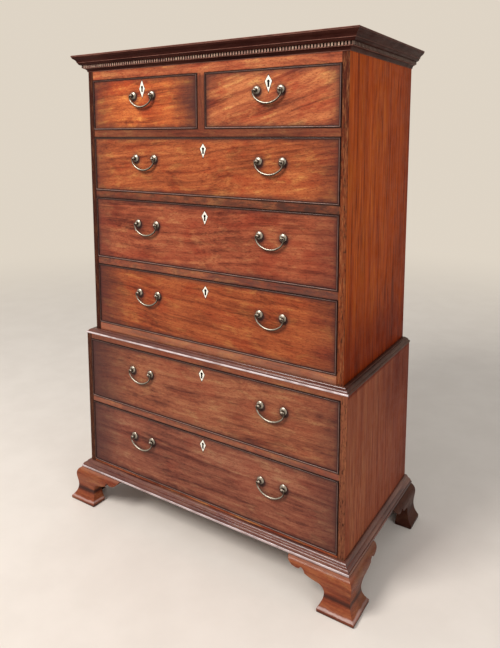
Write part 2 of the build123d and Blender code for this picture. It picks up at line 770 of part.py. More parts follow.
def lock_block(drawer):
    """The space let into the back of the front for the lock, open at the top edge."""
    half = LOCK_WIDTH / 2
    high = drawer.ceiling - DRAWER_GAP
    inner = drawer.case.front + FRONT_THICKNESS
    x_range = (drawer.middle - half, drawer.middle + half)
    return block(x_range, (inner - LOCK_DEPTH, inner), (high - LOCK_HEIGHT, high))


def lock_case(drawer):
    """Brass lock case: a closed shell with a keyhole in front and a slot for the bolt on top."""
    half = LOCK_WIDTH / 2 - LOCK_WALL
    high = drawer.ceiling - DRAWER_GAP
    inner = drawer.case.front + FRONT_THICKNESS
    cavity = block(
        (drawer.middle - half, drawer.middle + half),
        (inner - LOCK_DEPTH + LOCK_WALL, inner - LOCK_WALL),
        (high - LOCK_HEIGHT + LOCK_WALL, high - LOCK_WALL),
    )
    x_range, y_range = bolt_ranges(drawer)
    slot = block(grown(x_range, BOLT_GAP), grown(y_range, BOLT_GAP), (high - 2 * LOCK_WALL, high))
    hole = keyhole(drawer, (inner - LOCK_DEPTH, inner - LOCK_DEPTH + LOCK_WALL))
    return lock_block(drawer) - cavity - slot - hole


def lock_bolt(drawer):
    """The bolt, drawn down until its top is level with the lock's."""
    high = drawer.ceiling - DRAWER_GAP
    return block(*bolt_ranges(drawer), (high - BOLT_HEIGHT, high))


# Handles


def post_places(drawer):
    """Places of the handle posts along the drawer front."""
    half = POST_SPACING / 2
    places = []
    for middle in drawer.handles.values():
        places += [middle - half, middle + half]
    return places


def rose_outline():
    """Half of a domed rose and of the neck on it: distance from the face along X, radius along Y."""
    lip = (ROSE_RIM + ROSE_LIP_RISE, ROSE_RADIUS - ROSE_LIP)
    swell = (ROSE_HEIGHT - ROSE_SWELL_DROP, ROSE_SWELL_RADIUS)
    return make_face([
        Line((0, 0), (0, ROSE_RADIUS)),
        Line((0, ROSE_RADIUS), (ROSE_RIM, ROSE_RADIUS)),
        Line((ROSE_RIM, ROSE_RADIUS), lip),
        ThreePointArc(lip, swell, (ROSE_HEIGHT, POST_NECK_RADIUS)),
        Line((ROSE_HEIGHT, POST_NECK_RADIUS), (POST_REACH, POST_NECK_RADIUS)),
        Line((POST_REACH, POST_NECK_RADIUS), (POST_REACH, 0)),
        Line((POST_REACH, 0), (0, 0)),
    ])


def post(drawer, x, outwards):
    """Turned post: rose, neck and ball head, with a shank through the drawer front."""
    face = drawer.case.front
    z = drawer.handle_z
    axis_y = face - POST_REACH
    shank_end = FRONT_THICKNESS + NUT_THICKNESS + SHANK_END
    section = Plane(origin=(x, face, z), x_dir=(0, -1, 0), z_dir=(1, 0, 0))
    body = revolve(section * rose_outline(), axis=Axis((x, face, z), (0, -1, 0)))
    body += Pos(x, axis_y, z) * Sphere(POST_HEAD_RADIUS)
    body += rod((x, face, z), (0, 1, 0), SHANK_RADIUS, shank_end)
    bore_start = x - outwards * (PIN_DEPTH + PIN_END_GAP)
    bore_length = PIN_DEPTH + PIN_END_GAP + 2 * POST_HEAD_RADIUS
    body -= rod((bore_start, axis_y, z), (outwards, 0, 0), PIN_RADIUS + PIN_GAP, bore_length)
    return body


def nut(drawer, x):
    """Square nut behind the drawer front."""
    inner = drawer.case.front + FRONT_THICKNESS
    half = NUT_SIZE / 2
    z = drawer.handle_z
    body = block((x - half, x + half), (inner, inner + NUT_THICKNESS), (z - half, z + half))
    return body - rod((x, inner, z), (0, 1, 0), SHANK_RADIUS + NUT_GAP, NUT_THICKNESS)


def section_across(path, share, radius):
    """Round section square to a path, at a share of its length."""
    return Plane(origin=path.position_at(share), z_dir=path.tangent_at(share)) * Circle(radius)


def bail(drawer, middle):
    """Bail hanging from its two pins: shoulders of one radius and a belly tangent to both.

    Its round section grows from the legs to the belly.
    """
    axis_y = drawer.case.front - POST_REACH
    z = drawer.handle_z
    half_spacing = POST_SPACING / 2
    bend_start = half_spacing + POST_HEAD_RADIUS + BAIL_CLEARANCE
    half_width = bend_start + BAIL_BEND
    shoulder = BAIL_SHOULDER_RADIUS
    shoulder_x = half_width - shoulder
    fall = BAIL_DROP - BAIL_BEND - shoulder
    belly = (shoulder_x**2 + fall**2) / (2 * fall) + shoulder
    belly_z = -BAIL_DROP + belly
    distance = sqrt(shoulder_x**2 + (belly_z + BAIL_BEND) ** 2)
    touch_x = shoulder_x * belly / distance
    touch_z = belly_z - (belly_z + BAIL_BEND) * belly / distance
    elevation = Plane(origin=(middle, axis_y, z), x_dir=(1, 0, 0), z_dir=(0, -1, 0))
    half_line = [
        RadiusArc((bend_start, 0), (half_width, -BAIL_BEND), BAIL_BEND),
        RadiusArc((half_width, -BAIL_BEND), (touch_x, touch_z), shoulder),
        RadiusArc((touch_x, touch_z), (0, -BAIL_DROP), belly),
    ]
    right_path = elevation * Wire(half_line)
    lengths = [line.length / right_path.length for line in half_line]
    sections = [
        section_across(right_path, 0, BAIL_LEG_RADIUS),
        section_across(right_path, lengths[0], BAIL_LEG_RADIUS),
        section_across(right_path, lengths[0] + lengths[1], BAIL_ROD_RADIUS),
        section_across(right_path, 1, BAIL_BELLY_RADIUS),
    ]
    right = sweep(sections, path=right_path, multisection=True)
    pin_end = half_spacing - PIN_DEPTH
    right += rod((middle + pin_end, axis_y, z), (1, 0, 0), PIN_RADIUS, bend_start - pin_end)
    left = mirror(right, about=Plane(origin=(middle, 0, 0), z_dir=(1, 0, 0)))
    return right + left


def brassware(drawer):
    """Posts, nuts and lock case of one drawer."""
    pieces = [lock_case(drawer)]
    for index, x in enumerate(post_places(drawer)):
        outwards = 1 if index % 2 else -1
        pieces += [post(drawer, x, outwards), nut(drawer, x)]
    return pieces


def write_case(prefix, case):
    """The boards, rails and runners of one case."""
    right = side_board(case)
    write(f"{prefix}_side_right", [right])
    write(f"{prefix}_side_left", [mirror(right, about=Plane.YZ)])
    write(f"{prefix}_top_and_bottom_boards", case_boards(case))
    write(f"{prefix}_back_boards", back_boards(case))
    rails = front_rails(case)
    runners = runners_and_dust_boards(case)
    if case is UPPER:
        rails[-1] -= muntin()
        rails[-2] -= muntin()
        rails.append(muntin())
        runners += short_drawer_guides()
    write(f"{prefix}_front_rails", rails)
    write(f"{prefix}_runners", runners)


def write_drawer(drawer):
    """One drawer's front, box, brassware, lock bolt and bails."""
    front, box = drawer_pieces(drawer)
    write(f"{drawer.name}_front", front)
    write(f"{drawer.name}_box", box)
    write(f"{drawer.name}_brassware", brassware(drawer))
    write(f"{drawer.name}_lock_bolt", [lock_bolt(drawer)])
    for name, middle in drawer.handles.items():
        write(f"{drawer.name}_{name}", [bail(drawer, middle)])


def main():
    os.makedirs("parts", exist_ok=True)
    write_case("lower", LOWER)
    write_case("upper", UPPER)
    write("base_moulding", mitred_lengths(base_moulding_outline(), LOWER.half, LOWER.front))
    waist_half = UPPER.half + WAIST_CLEARANCE
    waist_front = UPPER.front - WAIST_CLEARANCE
    write("waist_moulding", mitred_lengths(waist_moulding_outline(), waist_half, waist_front))
    write("cornice", mitred_lengths(cornice_outline(), UPPER.half, UPPER.front))
    write("cornice_dentils", dentil_strips())
    for place, pieces in (("front", front_foot()), ("rear", rear_foot())):
        write(f"foot_{place}_right", pieces)
        write(f"foot_{place}_left", [mirror(piece, about=Plane.YZ) for piece in pieces])
    for drawer in DRAWERS:
        write_drawer(drawer)


main()
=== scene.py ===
"""Looks of the chest on chest: waxed mahogany, bare oak and pine, cast brass, bone, and a pale studio."""

import json
from math import pi, radians

import bmesh
import bpy
import numpy as np
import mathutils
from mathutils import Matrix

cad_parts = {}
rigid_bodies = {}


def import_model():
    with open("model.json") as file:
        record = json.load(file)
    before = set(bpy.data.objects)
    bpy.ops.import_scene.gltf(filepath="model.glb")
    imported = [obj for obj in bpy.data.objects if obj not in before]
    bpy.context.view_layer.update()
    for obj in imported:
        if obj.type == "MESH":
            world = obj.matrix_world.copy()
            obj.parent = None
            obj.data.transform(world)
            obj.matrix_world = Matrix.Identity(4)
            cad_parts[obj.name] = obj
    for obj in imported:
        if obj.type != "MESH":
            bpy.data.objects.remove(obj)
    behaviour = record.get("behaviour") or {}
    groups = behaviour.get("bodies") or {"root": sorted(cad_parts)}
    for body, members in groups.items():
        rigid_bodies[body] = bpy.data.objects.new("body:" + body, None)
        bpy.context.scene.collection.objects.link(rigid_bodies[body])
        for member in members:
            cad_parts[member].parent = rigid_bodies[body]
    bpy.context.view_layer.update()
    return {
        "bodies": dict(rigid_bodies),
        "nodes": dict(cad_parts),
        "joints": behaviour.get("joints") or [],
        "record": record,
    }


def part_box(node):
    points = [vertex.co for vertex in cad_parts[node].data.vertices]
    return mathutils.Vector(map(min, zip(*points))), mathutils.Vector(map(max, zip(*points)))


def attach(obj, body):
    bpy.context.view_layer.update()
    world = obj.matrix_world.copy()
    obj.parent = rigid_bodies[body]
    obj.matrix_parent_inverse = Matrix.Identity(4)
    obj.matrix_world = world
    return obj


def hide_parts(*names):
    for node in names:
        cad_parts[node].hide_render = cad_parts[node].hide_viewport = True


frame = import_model()

MM = 0.001

# Places read from the frame
UPPER_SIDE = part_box("upper_side_right")
LOWER_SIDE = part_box("lower_side_right")
UPPER_HALF, UPPER_FRONT = UPPER_SIDE[1][0], UPPER_SIDE[0][1]
LOWER_HALF, LOWER_FRONT = LOWER_SIDE[1][0], LOWER_SIDE[0][1]
BACK = LOWER_SIDE[1][1]
BODIES = frame["record"]["behaviour"]["bodies"]
BODY_OF_NODE = {node: body for body, nodes in BODIES.items() for node in nodes}
JOINT_OF_BODY = {joint["child"]: joint for joint in frame["joints"]}
DRAWERS = sorted(body for body in frame["bodies"] if body.startswith("drawer_") and body.count("_") == 1)

# Sizes of the furniture on a drawer
BEAD_WIDTH = 3.2 * MM
BEAD_PROUD = 2.5 * MM
BEAD_TUCKED = 1.0 * MM  # how far the bead's strip goes behind the drawer's face
BEAD_STEPS = 24  # points along each of its four lengths
PLATE_HALF_WIDTH = 11.5 * MM
KEYHOLE_RADIUS = 4.3 * MM
KEYHOLE_HALF_SLOT = 3.0 * MM
KEYHOLE_DROP = 15.7 * MM  # from the middle of its round part to the slot's end
KEYHOLE_RISE = 5.8 * MM  # from the plate's middle to that of the round part
POST_HALF_SPACING = 40.0 * MM
BAIL_DROP = 38.0 * MM
BAIL_HALF_WIDTH = 47.5 * MM
BAIL_BEND = 2.6 * MM
BAIL_SHOULDER = 28.0 * MM
BAIL_RADIUS = 2.15 * MM  # of its section, at the shoulder
KNUCKLE_SWELL = 0.35 * MM  # what the knuckle and the belly add to it
BELLY_SWELL = 1.05 * MM
KNUCKLE_PLACE = 10.5 * MM  # from the pin's end along the bail
KNUCKLE_REACH = 2.2 * MM
PIN_RADIUS = 1.55 * MM
PIN_LENGTH = 6.6 * MM
PIN_DEPTH = 2.0 * MM
LOCK_ARRIS = 0.3 * MM
BOARD_LEAST = 15 * MM  # from a drawer front's face to its back

# Sizes of the cases
WAIST_CLEARANCE = 0.5 * MM
DENTIL_PROUD = 15.5 * MM
CASES_PART = 0.62  # a height in metres, just below the upper case

SHARP = radians(30)  # an edge that turns by more is an arris


# Meshes


def linked(name, data):
    """A new object in the scene."""
    piece = bpy.data.objects.new(name, data)
    bpy.context.scene.collection.objects.link(piece)
    return piece


def finished(mesh, node, material):
    """Puts a mesh into the scene as a piece that stands for a CAD node and rides on its body."""
    piece = linked(mesh.name, mesh)
    mesh.materials.append(material)
    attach(piece, BODY_OF_NODE[node])
    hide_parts(node)
    return piece


def soften(piece, width):
    """Rounds every sharp arris of a piece by a small width."""
    bevel = piece.modifiers.new("arris", "BEVEL")
    bevel.width = width
    bevel.segments = 2
    bevel.limit_method = "ANGLE"
    bevel.angle_limit = radians(32)
    bevel.harden_normals = True


def quads(rows, columns, round_rows=False, round_columns=False):
    """Quads over a grid of points numbered row by row, closed round in either direction if asked."""
    row = np.arange(rows if round_rows else rows - 1)[:, None]
    column = np.arange(columns if round_columns else columns - 1)[None, :]
    next_row, next_column = (row + 1) % rows, (column + 1) % columns
    ring = ((row, column), (row, next_column), (next_row, next_column), (next_row, column))
    return np.stack([first * columns + second for first, second in ring], axis=-1).reshape(-1, 4)


def surface(name, points, faces, rub=None):
    """A mesh from points and faces, with doubles merged, normals outwards and sharp arrises kept.

    rub says for each point, from 0 to 1, how much hands and dusters rub it; the finishes also paint
    highlights and shade by it.
    """
    mesh = bpy.data.meshes.new(name)
    mesh.from_pydata(points.reshape(-1, 3).tolist(), [], [list(map(int, face)) for face in faces])
    if rub is not None:
        rubbed = mesh.attributes.new("rub", "FLOAT", "POINT")
        rubbed.data.foreach_set("value", np.broadcast_to(rub, points.shape[:-1]).astype(np.float32).ravel())
    shape = bmesh.new()
    shape.from_mesh(mesh)
    bmesh.ops.remove_doubles(shape, verts=shape.verts, dist=1e-7)
    bmesh.ops.recalc_face_normals(shape, faces=shape.faces)
    shape.to_mesh(mesh)
    shape.free()
    mesh.shade_smooth()
    mesh.set_sharp_from_angle(angle=SHARP)
    return mesh


def carried(name, sections, rub=None, closed=False):
    """A closed outline carried along a path: one row of points for each station, capped at both ends
    unless the path itself is closed."""
    stations, corners = sections.shape[:2]
    faces = quads(stations, corners, round_rows=closed, round_columns=True).tolist()
    if not closed:
        last = (stations - 1) * corners
        faces += [list(range(corners)), list(range(last, last + corners))]
    return surface(name, sections, faces, rub)


def arc(start, middle, end, steps):
    """Points from start up to end on the circle whose centre is equally far from all three points."""
    start, middle, end = map(np.array, (start, middle, end))
    chords = 2 * np.array([middle - start, end - start])
    centre = np.linalg.solve(chords, [middle @ middle - start @ start, end @ end - start @ start])
    angles = [np.arctan2(y, x) for x, y in (start - centre, middle - centre, end - centre)]
    sweep = (angles[2] - angles[0]) % (2 * pi)
    if (angles[1] - angles[0]) % (2 * pi) > sweep:
        sweep -= 2 * pi
    turn = angles[0] + sweep * np.linspace(0, 1, steps, endpoint=False)
    return centre + np.hypot(*(start - centre)) * np.stack([np.cos(turn), np.sin(turn)], axis=-1)


def outline(corners, closed=True, steps=7, stride=2.0):
    """Points of an outline drawn in millimetres, in metres: straight from corner to corner, or along
    an arc through the point between two corners that is marked by a third value."""
    points = []
    corners = corners + corners[:1] if closed else corners
    for index, corner in enumerate(corners[:-1]):
        if len(corner) == 3:
            continue
        after = corners[index + 1]
        if len(after) == 3:
            points.append(arc(corner, after[:2], corners[index + 2], steps))
        else:
            count = max(1, int(np.hypot(after[0] - corner[0], after[1] - corner[1]) / stride))
            share = np.linspace(0, 1, count, endpoint=False)[:, None]
            points.append(np.array(corner) + share * (np.array(after) - np.array(corner)))
    if not closed:
        points.append(np.array([corners[-1]]))
    return np.concatenate(points) * MM


def rubbed_and_lit_arrises(section):
    """How much wear and painted highlight each point of a closed outline gets: its outward turn,
    added up over its neighbours with a bell curve of their distance along the outline, over that
    of a full arris, and held between 0 and 1."""
    reach, full_turn = 1.6 * MM, 0.9
    ahead = np.roll(section, -1, axis=0) - section
    behind = section - np.roll(section, 1, axis=0)
    cross = behind[:, 0] * ahead[:, 1] - behind[:, 1] * ahead[:, 0]
    turn = np.arctan2(cross, (behind * ahead).sum(axis=1))
    run = np.cumsum(np.hypot(*behind.T))
    apart = np.abs(run[:, None] - run[None, :])
    return np.clip((np.exp(-((apart / reach) ** 2)) @ turn) / full_turn, 0, 1)


def waver(distance, phase, size=0.12 * MM):
    """Unevenness of hand-planed work: three slow sines along a length, added."""
    slow = np.sin(distance * 9.0 + phase) + 0.6 * np.sin(distance * 23.0 + 2.1 * phase)
    return size * (slow + 0.35 * np.sin(distance * 61.0 + 3.3 * phase))


# Joinery carried over from the frame


def solids_of(mesh):
    """Corners and triangles of a CAD node's mesh, and which solid each triangle belongs to.

    The triangles come solid by solid, and a solid meets each of its edges once in each
    direction. So every edge gets a random weight, plus one way and minus the other, and a
    solid ends where the running sum of the weights comes back to nought.
    """
    places = np.empty(3 * len(mesh.vertices))
    mesh.vertices.foreach_get("co", places)
    places = places.reshape(-1, 3)
    corners = np.empty(len(mesh.loops), dtype=np.int64)
    mesh.loops.foreach_get("vertex_index", corners)
    _, first, merged = np.unique(np.round(places / 1e-6), axis=0, return_index=True, return_inverse=True)
    triangles = merged.ravel()[corners].reshape(-1, 3)
    after = np.roll(triangles, -1, axis=1)
    edges = np.minimum(triangles, after) * len(first) + np.maximum(triangles, after)
    _, edge = np.unique(edges, return_inverse=True)
    weights = np.random.default_rng(1).integers(1, 2**40, edge.max() + 1)
    signed = weights[edge.reshape(edges.shape)] * np.sign(after - triangles)
    ended = np.cumsum(signed.sum(axis=1)) == 0
    return places[first], triangles, np.cumsum(ended) - ended


def timbers(node, finish, arris=0.5 * MM, keep=None, grain=None):
    """Pieces for a CAD node of several timbers: one for each direction in which timbers run.

    Each is a copy of the node's solids whose longest side lies along that axis, so that its
    grain can follow them, unless grain names the axis. keep picks the solids by their
    corners, finish gives the material for an axis, and without an arris the boards stay
    sharp and flat.
    """
    places, triangles, solid = solids_of(frame["nodes"][node].data)
    shapes = {}
    for number in range(solid.max() + 1):
        used, own = np.unique(triangles[solid == number], return_inverse=True)
        low, high = places[used].min(axis=0), places[used].max(axis=0)
        if keep and not keep(low, high):
            continue
        timber = bpy.data.meshes.new("timber")
        timber.from_pydata(places[used].tolist(), [], own.reshape(-1, 3).tolist())
        axis = grain or "XYZ"[int((high - low).argmax())]
        if axis not in shapes:
            shapes[axis] = bmesh.new()
        shapes[axis].from_mesh(timber)
        bpy.data.meshes.remove(timber)
    for axis, shape in sorted(shapes.items()):
        bmesh.ops.dissolve_limit(shape, angle_limit=radians(0.3), verts=shape.verts, edges=shape.edges)
        mesh = bpy.data.meshes.new(f"{node}_{axis.lower()}")
        shape.to_mesh(mesh)
        shape.free()
        piece = finished(mesh, node, finish(axis))
        if arris:
            mesh.shade_smooth()
            mesh.set_sharp_from_angle(angle=SHARP)
            soften(piece, arris)
        else:
            mesh.shade_flat()


# Mouldings


def mitred_moulding(node, corners, half, front, bottom, finish, inner_wear_and_highlight=0.25, side_wear_and_highlight=0.2):
    """Front length and two side lengths of a moulding, each an outline carried along its run.

    A point of the outline at projection p and height h lies at y = front - p along the front,
    from x = -(half + p) to x = half + p, and at x = half + p along a side, from the mitre at
    y = front - p to the back. The arrises near the case get the given inner share of the wear and
    painted highlight of the outermost, and those of the sides the given side share of the front's.
    """
    section = outline(corners)
    projection, height = section[None, :, 0], section[None, :, 1]
    # the outermost arrises get the most wear and painted highlight
    outer = (projection / projection.max()) ** 4
    rub = rubbed_and_lit_arrises(section)[None, :] * (inner_wear_and_highlight + (1 - inner_wear_and_highlight) * outer)
    # the sides, which get less light, get less painted highlight
    side_rub_and_highlight = side_wear_and_highlight * rub
    along = np.linspace(0, 1, 60)[:, None]
    phase = 40 * (projection + height)
    shown = (projection > 0) * 4 * along * (1 - along)
    reach = half + projection
    run = (2 * along - 1) * reach
    y = front - projection - waver(run, phase) * shown
    z = bottom + height + 0 * run
    mesh = carried(f"{node}_front", np.stack([run, y, z], axis=-1), rub)
    finished(mesh, node, finish("X"))
    run = (front - projection) + along * (BACK - front + projection)
    for hand, side in (("right", 1), ("left", -1)):
        x = side * (reach + waver(run, phase + side) * shown)
        mesh = carried(f"{node}_{hand}", np.stack([x, run, z], axis=-1), side_rub_and_highlight)
        finished(mesh, node, finish("Y"))


ARC = True  # marks a point that an arc goes through
BASE_OUTLINE = [
    (0, 0), (24, 0), (26, 4, ARC), (24, 8), (22, 8), (19.6, 14.4, ARC), (13.5, 17), (12, 18.5),
    (9.5, 23, ARC), (5, 26), (0, 26),
]
WAIST_OUTLINE = [
    (0, 0), (25, 0), (26, 3, ARC), (23.5, 6), (21, 6.5), (17.5, 11.5, ARC), (10, 13.5), (9, 15), (0, 15),
]
CORNICE_OUTLINE = [
    (0, 0), (1.5, 0), (2.5, 2.5), (5, 8, ARC), (11.5, 11), (12, 12.8), (9, 12.8), (9, 22), (17.5, 22),
    (22.5, 24.8, ARC), (25, 30), (27, 30), (27, 32.5), (29.5, 37.5, ARC), (33, 41), (37, 44, ARC),
    (39.5, 49), (40.5, 49), (40.5, 54), (0, 54),
]


# Drawer furniture


def cockbead(drawer, material):
    """Half-round strip carried round the edge of a drawer front, mitred at its corners.

    A point of the section at distance a in from the edge and d in front of the face follows
    a rectangle that is smaller by a on every side.
    """
    low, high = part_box(f"{drawer}_front")
    face = low[1] + BEAD_PROUD
    turn = np.linspace(0, pi, 9)
    inwards = np.concatenate([BEAD_WIDTH / 2 * (1 - np.cos(turn)), [BEAD_WIDTH, 0]])
    rise = BEAD_PROUD - BEAD_WIDTH / 2
    proud = np.concatenate([rise + BEAD_WIDTH / 2 * np.sin(turn), [-BEAD_TUCKED, -BEAD_TUCKED]])
    # painted highlight on the bead's crest: strongest on the bottom length, which faces up to the light, and
    # weakest on the left
    painted_highlight_by_side = np.repeat([0.66, 0.52, 0.40, 0.32], BEAD_STEPS)[:, None]  # bottom, right, top and left
    rub = np.concatenate([np.sin(turn) ** 2, [0, 0]])[None, :] * painted_highlight_by_side
    fraction = np.linspace(0, 1, BEAD_STEPS, endpoint=False)[:, None]
    left, right = low[0] + inwards, high[0] - inwards
    bottom, top = low[2] + inwards, high[2] - inwards
    corners = [(left, bottom), (right, bottom), (right, top), (left, top), (left, bottom)]
    x, z = (
        np.concatenate([start + fraction * (end - start) for start, end in zip(ring, ring[1:])])
        for ring in zip(*corners)
    )
    y = face - proud[None, :] - waver(x + 0.7 * z, 1.0, 0.05 * MM) * (proud > 0)
    mesh = carried(f"{drawer}_cockbead", np.stack([x, y, z], axis=-1), rub, closed=True)
    finished(mesh, f"{drawer}_front", material)


def kite_corners(half_width, up, down, waist):
    """The kite's right, upper, left and lower corner, from a point on its axis."""
    return np.array([(half_width, -waist), (0, up), (-half_width, -waist), (0, -down)])


def kite_reach(turn, half_width, up, down, waist):
    """Distance from a point on the kite's axis to its edge, for each direction.

    The kite is convex, so the distance is the least over its four sides of the side's
    distance divided by the cosine to its normal. The point lies waist above its widest place.
    """
    corners = kite_corners(half_width, up, down, waist)
    direction = np.stack([np.cos(turn), np.sin(turn)], axis=-1)
    reach = np.full(len(turn), 1.0)
    for start, end in zip(corners, np.roll(corners, -1, axis=0)):
        edge = end - start
        normal = np.array([edge[1], -edge[0]]) / np.hypot(*edge)
        facing = direction @ normal
        distance = start @ normal
        reach = np.where(facing > 1e-6, np.minimum(reach, distance / np.maximum(facing, 1e-6)), reach)
    return reach


def keyhole_reach(turn, radius, half_slot, drop):
    """Distance from the middle of the keyhole's round part to its edge: the greater of the
    circle's radius and the way out of the slot below it."""
    sideways = half_slot / np.maximum(np.abs(np.cos(turn)), 1e-6)
    downwards = np.where(np.sin(turn) < -1e-6, drop / np.maximum(-np.sin(turn), 1e-6), 0)
    return np.maximum(radius, np.minimum(sideways, downwards))


def escutcheon(drawer, plate, material):
    """Bone kite round a keyhole: a slightly crowned face between the two outlines, and its edges.

    In each direction from the hole's middle its points lie at shares of the way from the
    keyhole's outline to the kite's.
    """
    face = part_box(f"{drawer}_front")[0][1] + BEAD_PROUD
    hole_z = plate.middle_z + KEYHOLE_RISE
    kite = (plate.half_width, plate.high - hole_z, hole_z - plate.low, hole_z - plate.widest)
    neck = np.sqrt(KEYHOLE_RADIUS**2 - KEYHOLE_HALF_SLOT**2)
    slot = [(side * KEYHOLE_HALF_SLOT, -down) for side in (1, -1) for down in (neck, KEYHOLE_DROP)]
    corners = np.concatenate([kite_corners(*kite), slot])
    exact = np.arctan2(corners[:, 1], corners[:, 0]) % (2 * pi)
    turn = np.unique(np.concatenate([np.linspace(0, 2 * pi, 100, endpoint=False), exact]))
    outer = kite_reach(turn, *kite)
    inner = keyhole_reach(turn, KEYHOLE_RADIUS, KEYHOLE_HALF_SLOT, KEYHOLE_DROP)
    share = np.array([0, 0, 0.08, 0.35, 0.7, 0.94, 1, 1])[:, None]
    proud = np.array([-1.8, -0.05, 0.15, 0.25, 0.25, 0.18, 0, -1.8])[:, None] * MM
    reach = inner + share * (outer - inner)
    x = plate.middle_x + reach * np.cos(turn)
    z = hole_z + reach * np.sin(turn)
    y = face - proud + 0 * x
    # low at the bone's edges, which its finish paints near black: grime at the outer rim, painted shade on
    # the walls of the keyhole
    rub = np.array([0, 0.2, 0.6, 1, 1, 0.6, 0.1, 0])[:, None]
    faces = quads(len(share), len(turn), True, True)
    mesh = surface(f"{drawer}_escutcheon", np.stack([x, y, z], axis=-1), faces, rub)
    finished(mesh, f"{drawer}_front", material)


POST_OUTLINE = [
    (-26, 0), (-26, 2.0), (-25.5, 2.5), (0, 2.5), (0, 12), (0.9, 12), (1.5, 11.3), (2.9, 9.3, ARC),
    (3.9, 6.6), (4.9, 4.6, ARC), (5.5, 3.1), (6.2, 2.9), (6.4, 3.17), (10, 4.8, ARC), (14.8, 0),
]


def post(name, x, z, face, node, material):
    """Turned handle post: its outline of radius against distance from the face, spun about Y.

    A shank goes back through the front board. The rose's dome and the head are rubbed and carry a
    painted highlight that is strongest on their upper side, and the shank has neither.
    """
    section = outline(POST_OUTLINE, closed=False, steps=9, stride=6.0)
    turn = np.linspace(0, 2 * pi, 40, endpoint=False)[None, :]
    distance, radius = section[:, :1], section[:, 1:]
    across, up = radius * np.cos(turn), radius * np.sin(turn)
    points = np.stack([x + across, face - distance + 0 * turn, z + up], axis=-1)
    upwards = 0.5 + 0.5 * np.sin(turn)
    dome = 0.8 * np.clip((radius - 4.2 * MM) / (3 * MM), 0, 1)
    head = np.clip((distance - 9 * MM) / (5 * MM), 0, 0.8)
    # wear of the dome and head, with a painted highlight that is strongest on the upper side
    rub = np.clip(dome * (0.5 + 0.6 * upwards) + head * (0.2 + upwards), 0, 1) * (distance > 0)
    mesh = surface(name, points, quads(len(section), turn.size, round_columns=True), rub)
    finished(mesh, node, material)


def bail_line():
    """Half of the bail's centre line, from the pin's end round the bend and shoulder to the belly.

    It is a straight pin, a quarter turn of the bend's radius, an arc of the shoulder's radius,
    and an arc about the middle that is tangent to it.
    """
    bend_x = BAIL_HALF_WIDTH - BAIL_BEND
    shoulder_x = BAIL_HALF_WIDTH - BAIL_SHOULDER
    fall = BAIL_DROP - BAIL_BEND - BAIL_SHOULDER
    belly = (shoulder_x**2 + fall**2) / (2 * fall) + BAIL_SHOULDER
    belly_z = belly - BAIL_DROP
    lean = np.arctan2(shoulder_x, belly_z + BAIL_BEND)
    pin = np.linspace(POST_HALF_SPACING - PIN_DEPTH, bend_x, 5, endpoint=False)
    bend = np.linspace(pi / 2, 0, 6, endpoint=False)
    shoulder = np.linspace(0, -(pi / 2 - lean), 22, endpoint=False)
    bottom = np.linspace(-(pi / 2 - lean), -pi / 2, 14)
    arcs = (
        (bend_x, -BAIL_BEND, BAIL_BEND, bend),
        (shoulder_x, -BAIL_BEND, BAIL_SHOULDER, shoulder),
        (0, belly_z, belly, bottom),
    )
    x = np.concatenate([pin, *[middle + radius * np.cos(turn) for middle, _, radius, turn in arcs]])
    z = np.concatenate([0 * pin, *[middle + radius * np.sin(turn) for _, middle, radius, turn in arcs]])
    return np.stack([x, z], axis=-1)


def bail(node, material):
    """Cast bail: a round section carried along the centre line, thin at the pins, swelling at the
    knuckles and most at the belly. Its front is rubbed and its upper side carries a painted highlight, both
    less near its ends."""
    pivot = JOINT_OF_BODY[node]["pos_m"]
    half = bail_line()
    line = np.concatenate([half, (half * [-1, 1])[::-1][1:]])
    step = np.gradient(line, axis=0)
    step /= np.linalg.norm(step, axis=1, keepdims=True)
    travelled = np.concatenate([[0], np.cumsum(np.linalg.norm(np.diff(line, axis=0), axis=1))])
    from_end = np.minimum(travelled, travelled[-1] - travelled)
    knuckle = np.exp(-(((from_end - KNUCKLE_PLACE) / KNUCKLE_REACH) ** 2))
    belly = np.sin(pi * travelled / travelled[-1]) ** 2
    radius = (BAIL_RADIUS + KNUCKLE_SWELL * knuckle + BELLY_SWELL * belly)[:, None]
    radius[from_end < PIN_LENGTH] = PIN_RADIUS
    turn = np.linspace(0, 2 * pi, 20, endpoint=False)[None, :]
    x = line[:, :1] - step[:, 1:] * radius * np.cos(turn)
    z = line[:, 1:] + step[:, :1] * radius * np.cos(turn)
    y = radius * np.sin(turn)
    points = np.stack([pivot[0] + x, pivot[1] + y, pivot[2] + z], axis=-1)
    upwards, forwards = step[:, :1] * np.cos(turn), -np.sin(turn)
    hands = np.clip(from_end / (30 * MM), 0.55, 1)[:, None]
    # wear on the front and a painted highlight on the upper side, less near the ends
    rub = np.clip((0.25 + 0.80 * upwards + 0.25 * forwards) * hands, 0, 1)
    mesh = carried(f"{node}_casting", points, rub)
    finished(mesh, node, material)


# Finishes


class Nodes:
    """The nodes of a material or a world."""

    def __init__(self, owner):
        owner.use_nodes = True
        self.tree = owner.node_tree
        self.tree.nodes.clear()

    def add(self, kind, inputs=None, **settings):
        """A new node, with its settings, and its inputs fed with numbers or from other nodes."""
        node = self.tree.nodes.new(kind)
        for key, value in settings.items():
            setattr(node, key, value)
        for key, value in (inputs or {}).items():
            self.feed(node.inputs[key], value)
        return node

    def feed(self, socket, value):
        """Gives an input a number, a colour or what another node puts out."""
        value = getattr(value, "socket", value)
        if isinstance(value, bpy.types.NodeSocket):
            self.tree.links.new(value, socket)
        elif socket.type == "RGBA" and len(value) == 3:
            socket.default_value = (*value, 1)
        else:
            socket.default_value = value

    def value(self, kind, inputs=None, output=0, made=None, **settings):
        """One output of a new node."""
        return (made or Value)(self, self.add(kind, inputs, **settings).outputs[output])

    def join(self, x, y, z):
        return self.value("ShaderNodeCombineXYZ", {0: x, 1: y, 2: z}, made=Vector)


def method(operation):
    """A method that does one operation on a value and the other one, if there is another."""
    return lambda value, *other: value.done(operation, value, *other)


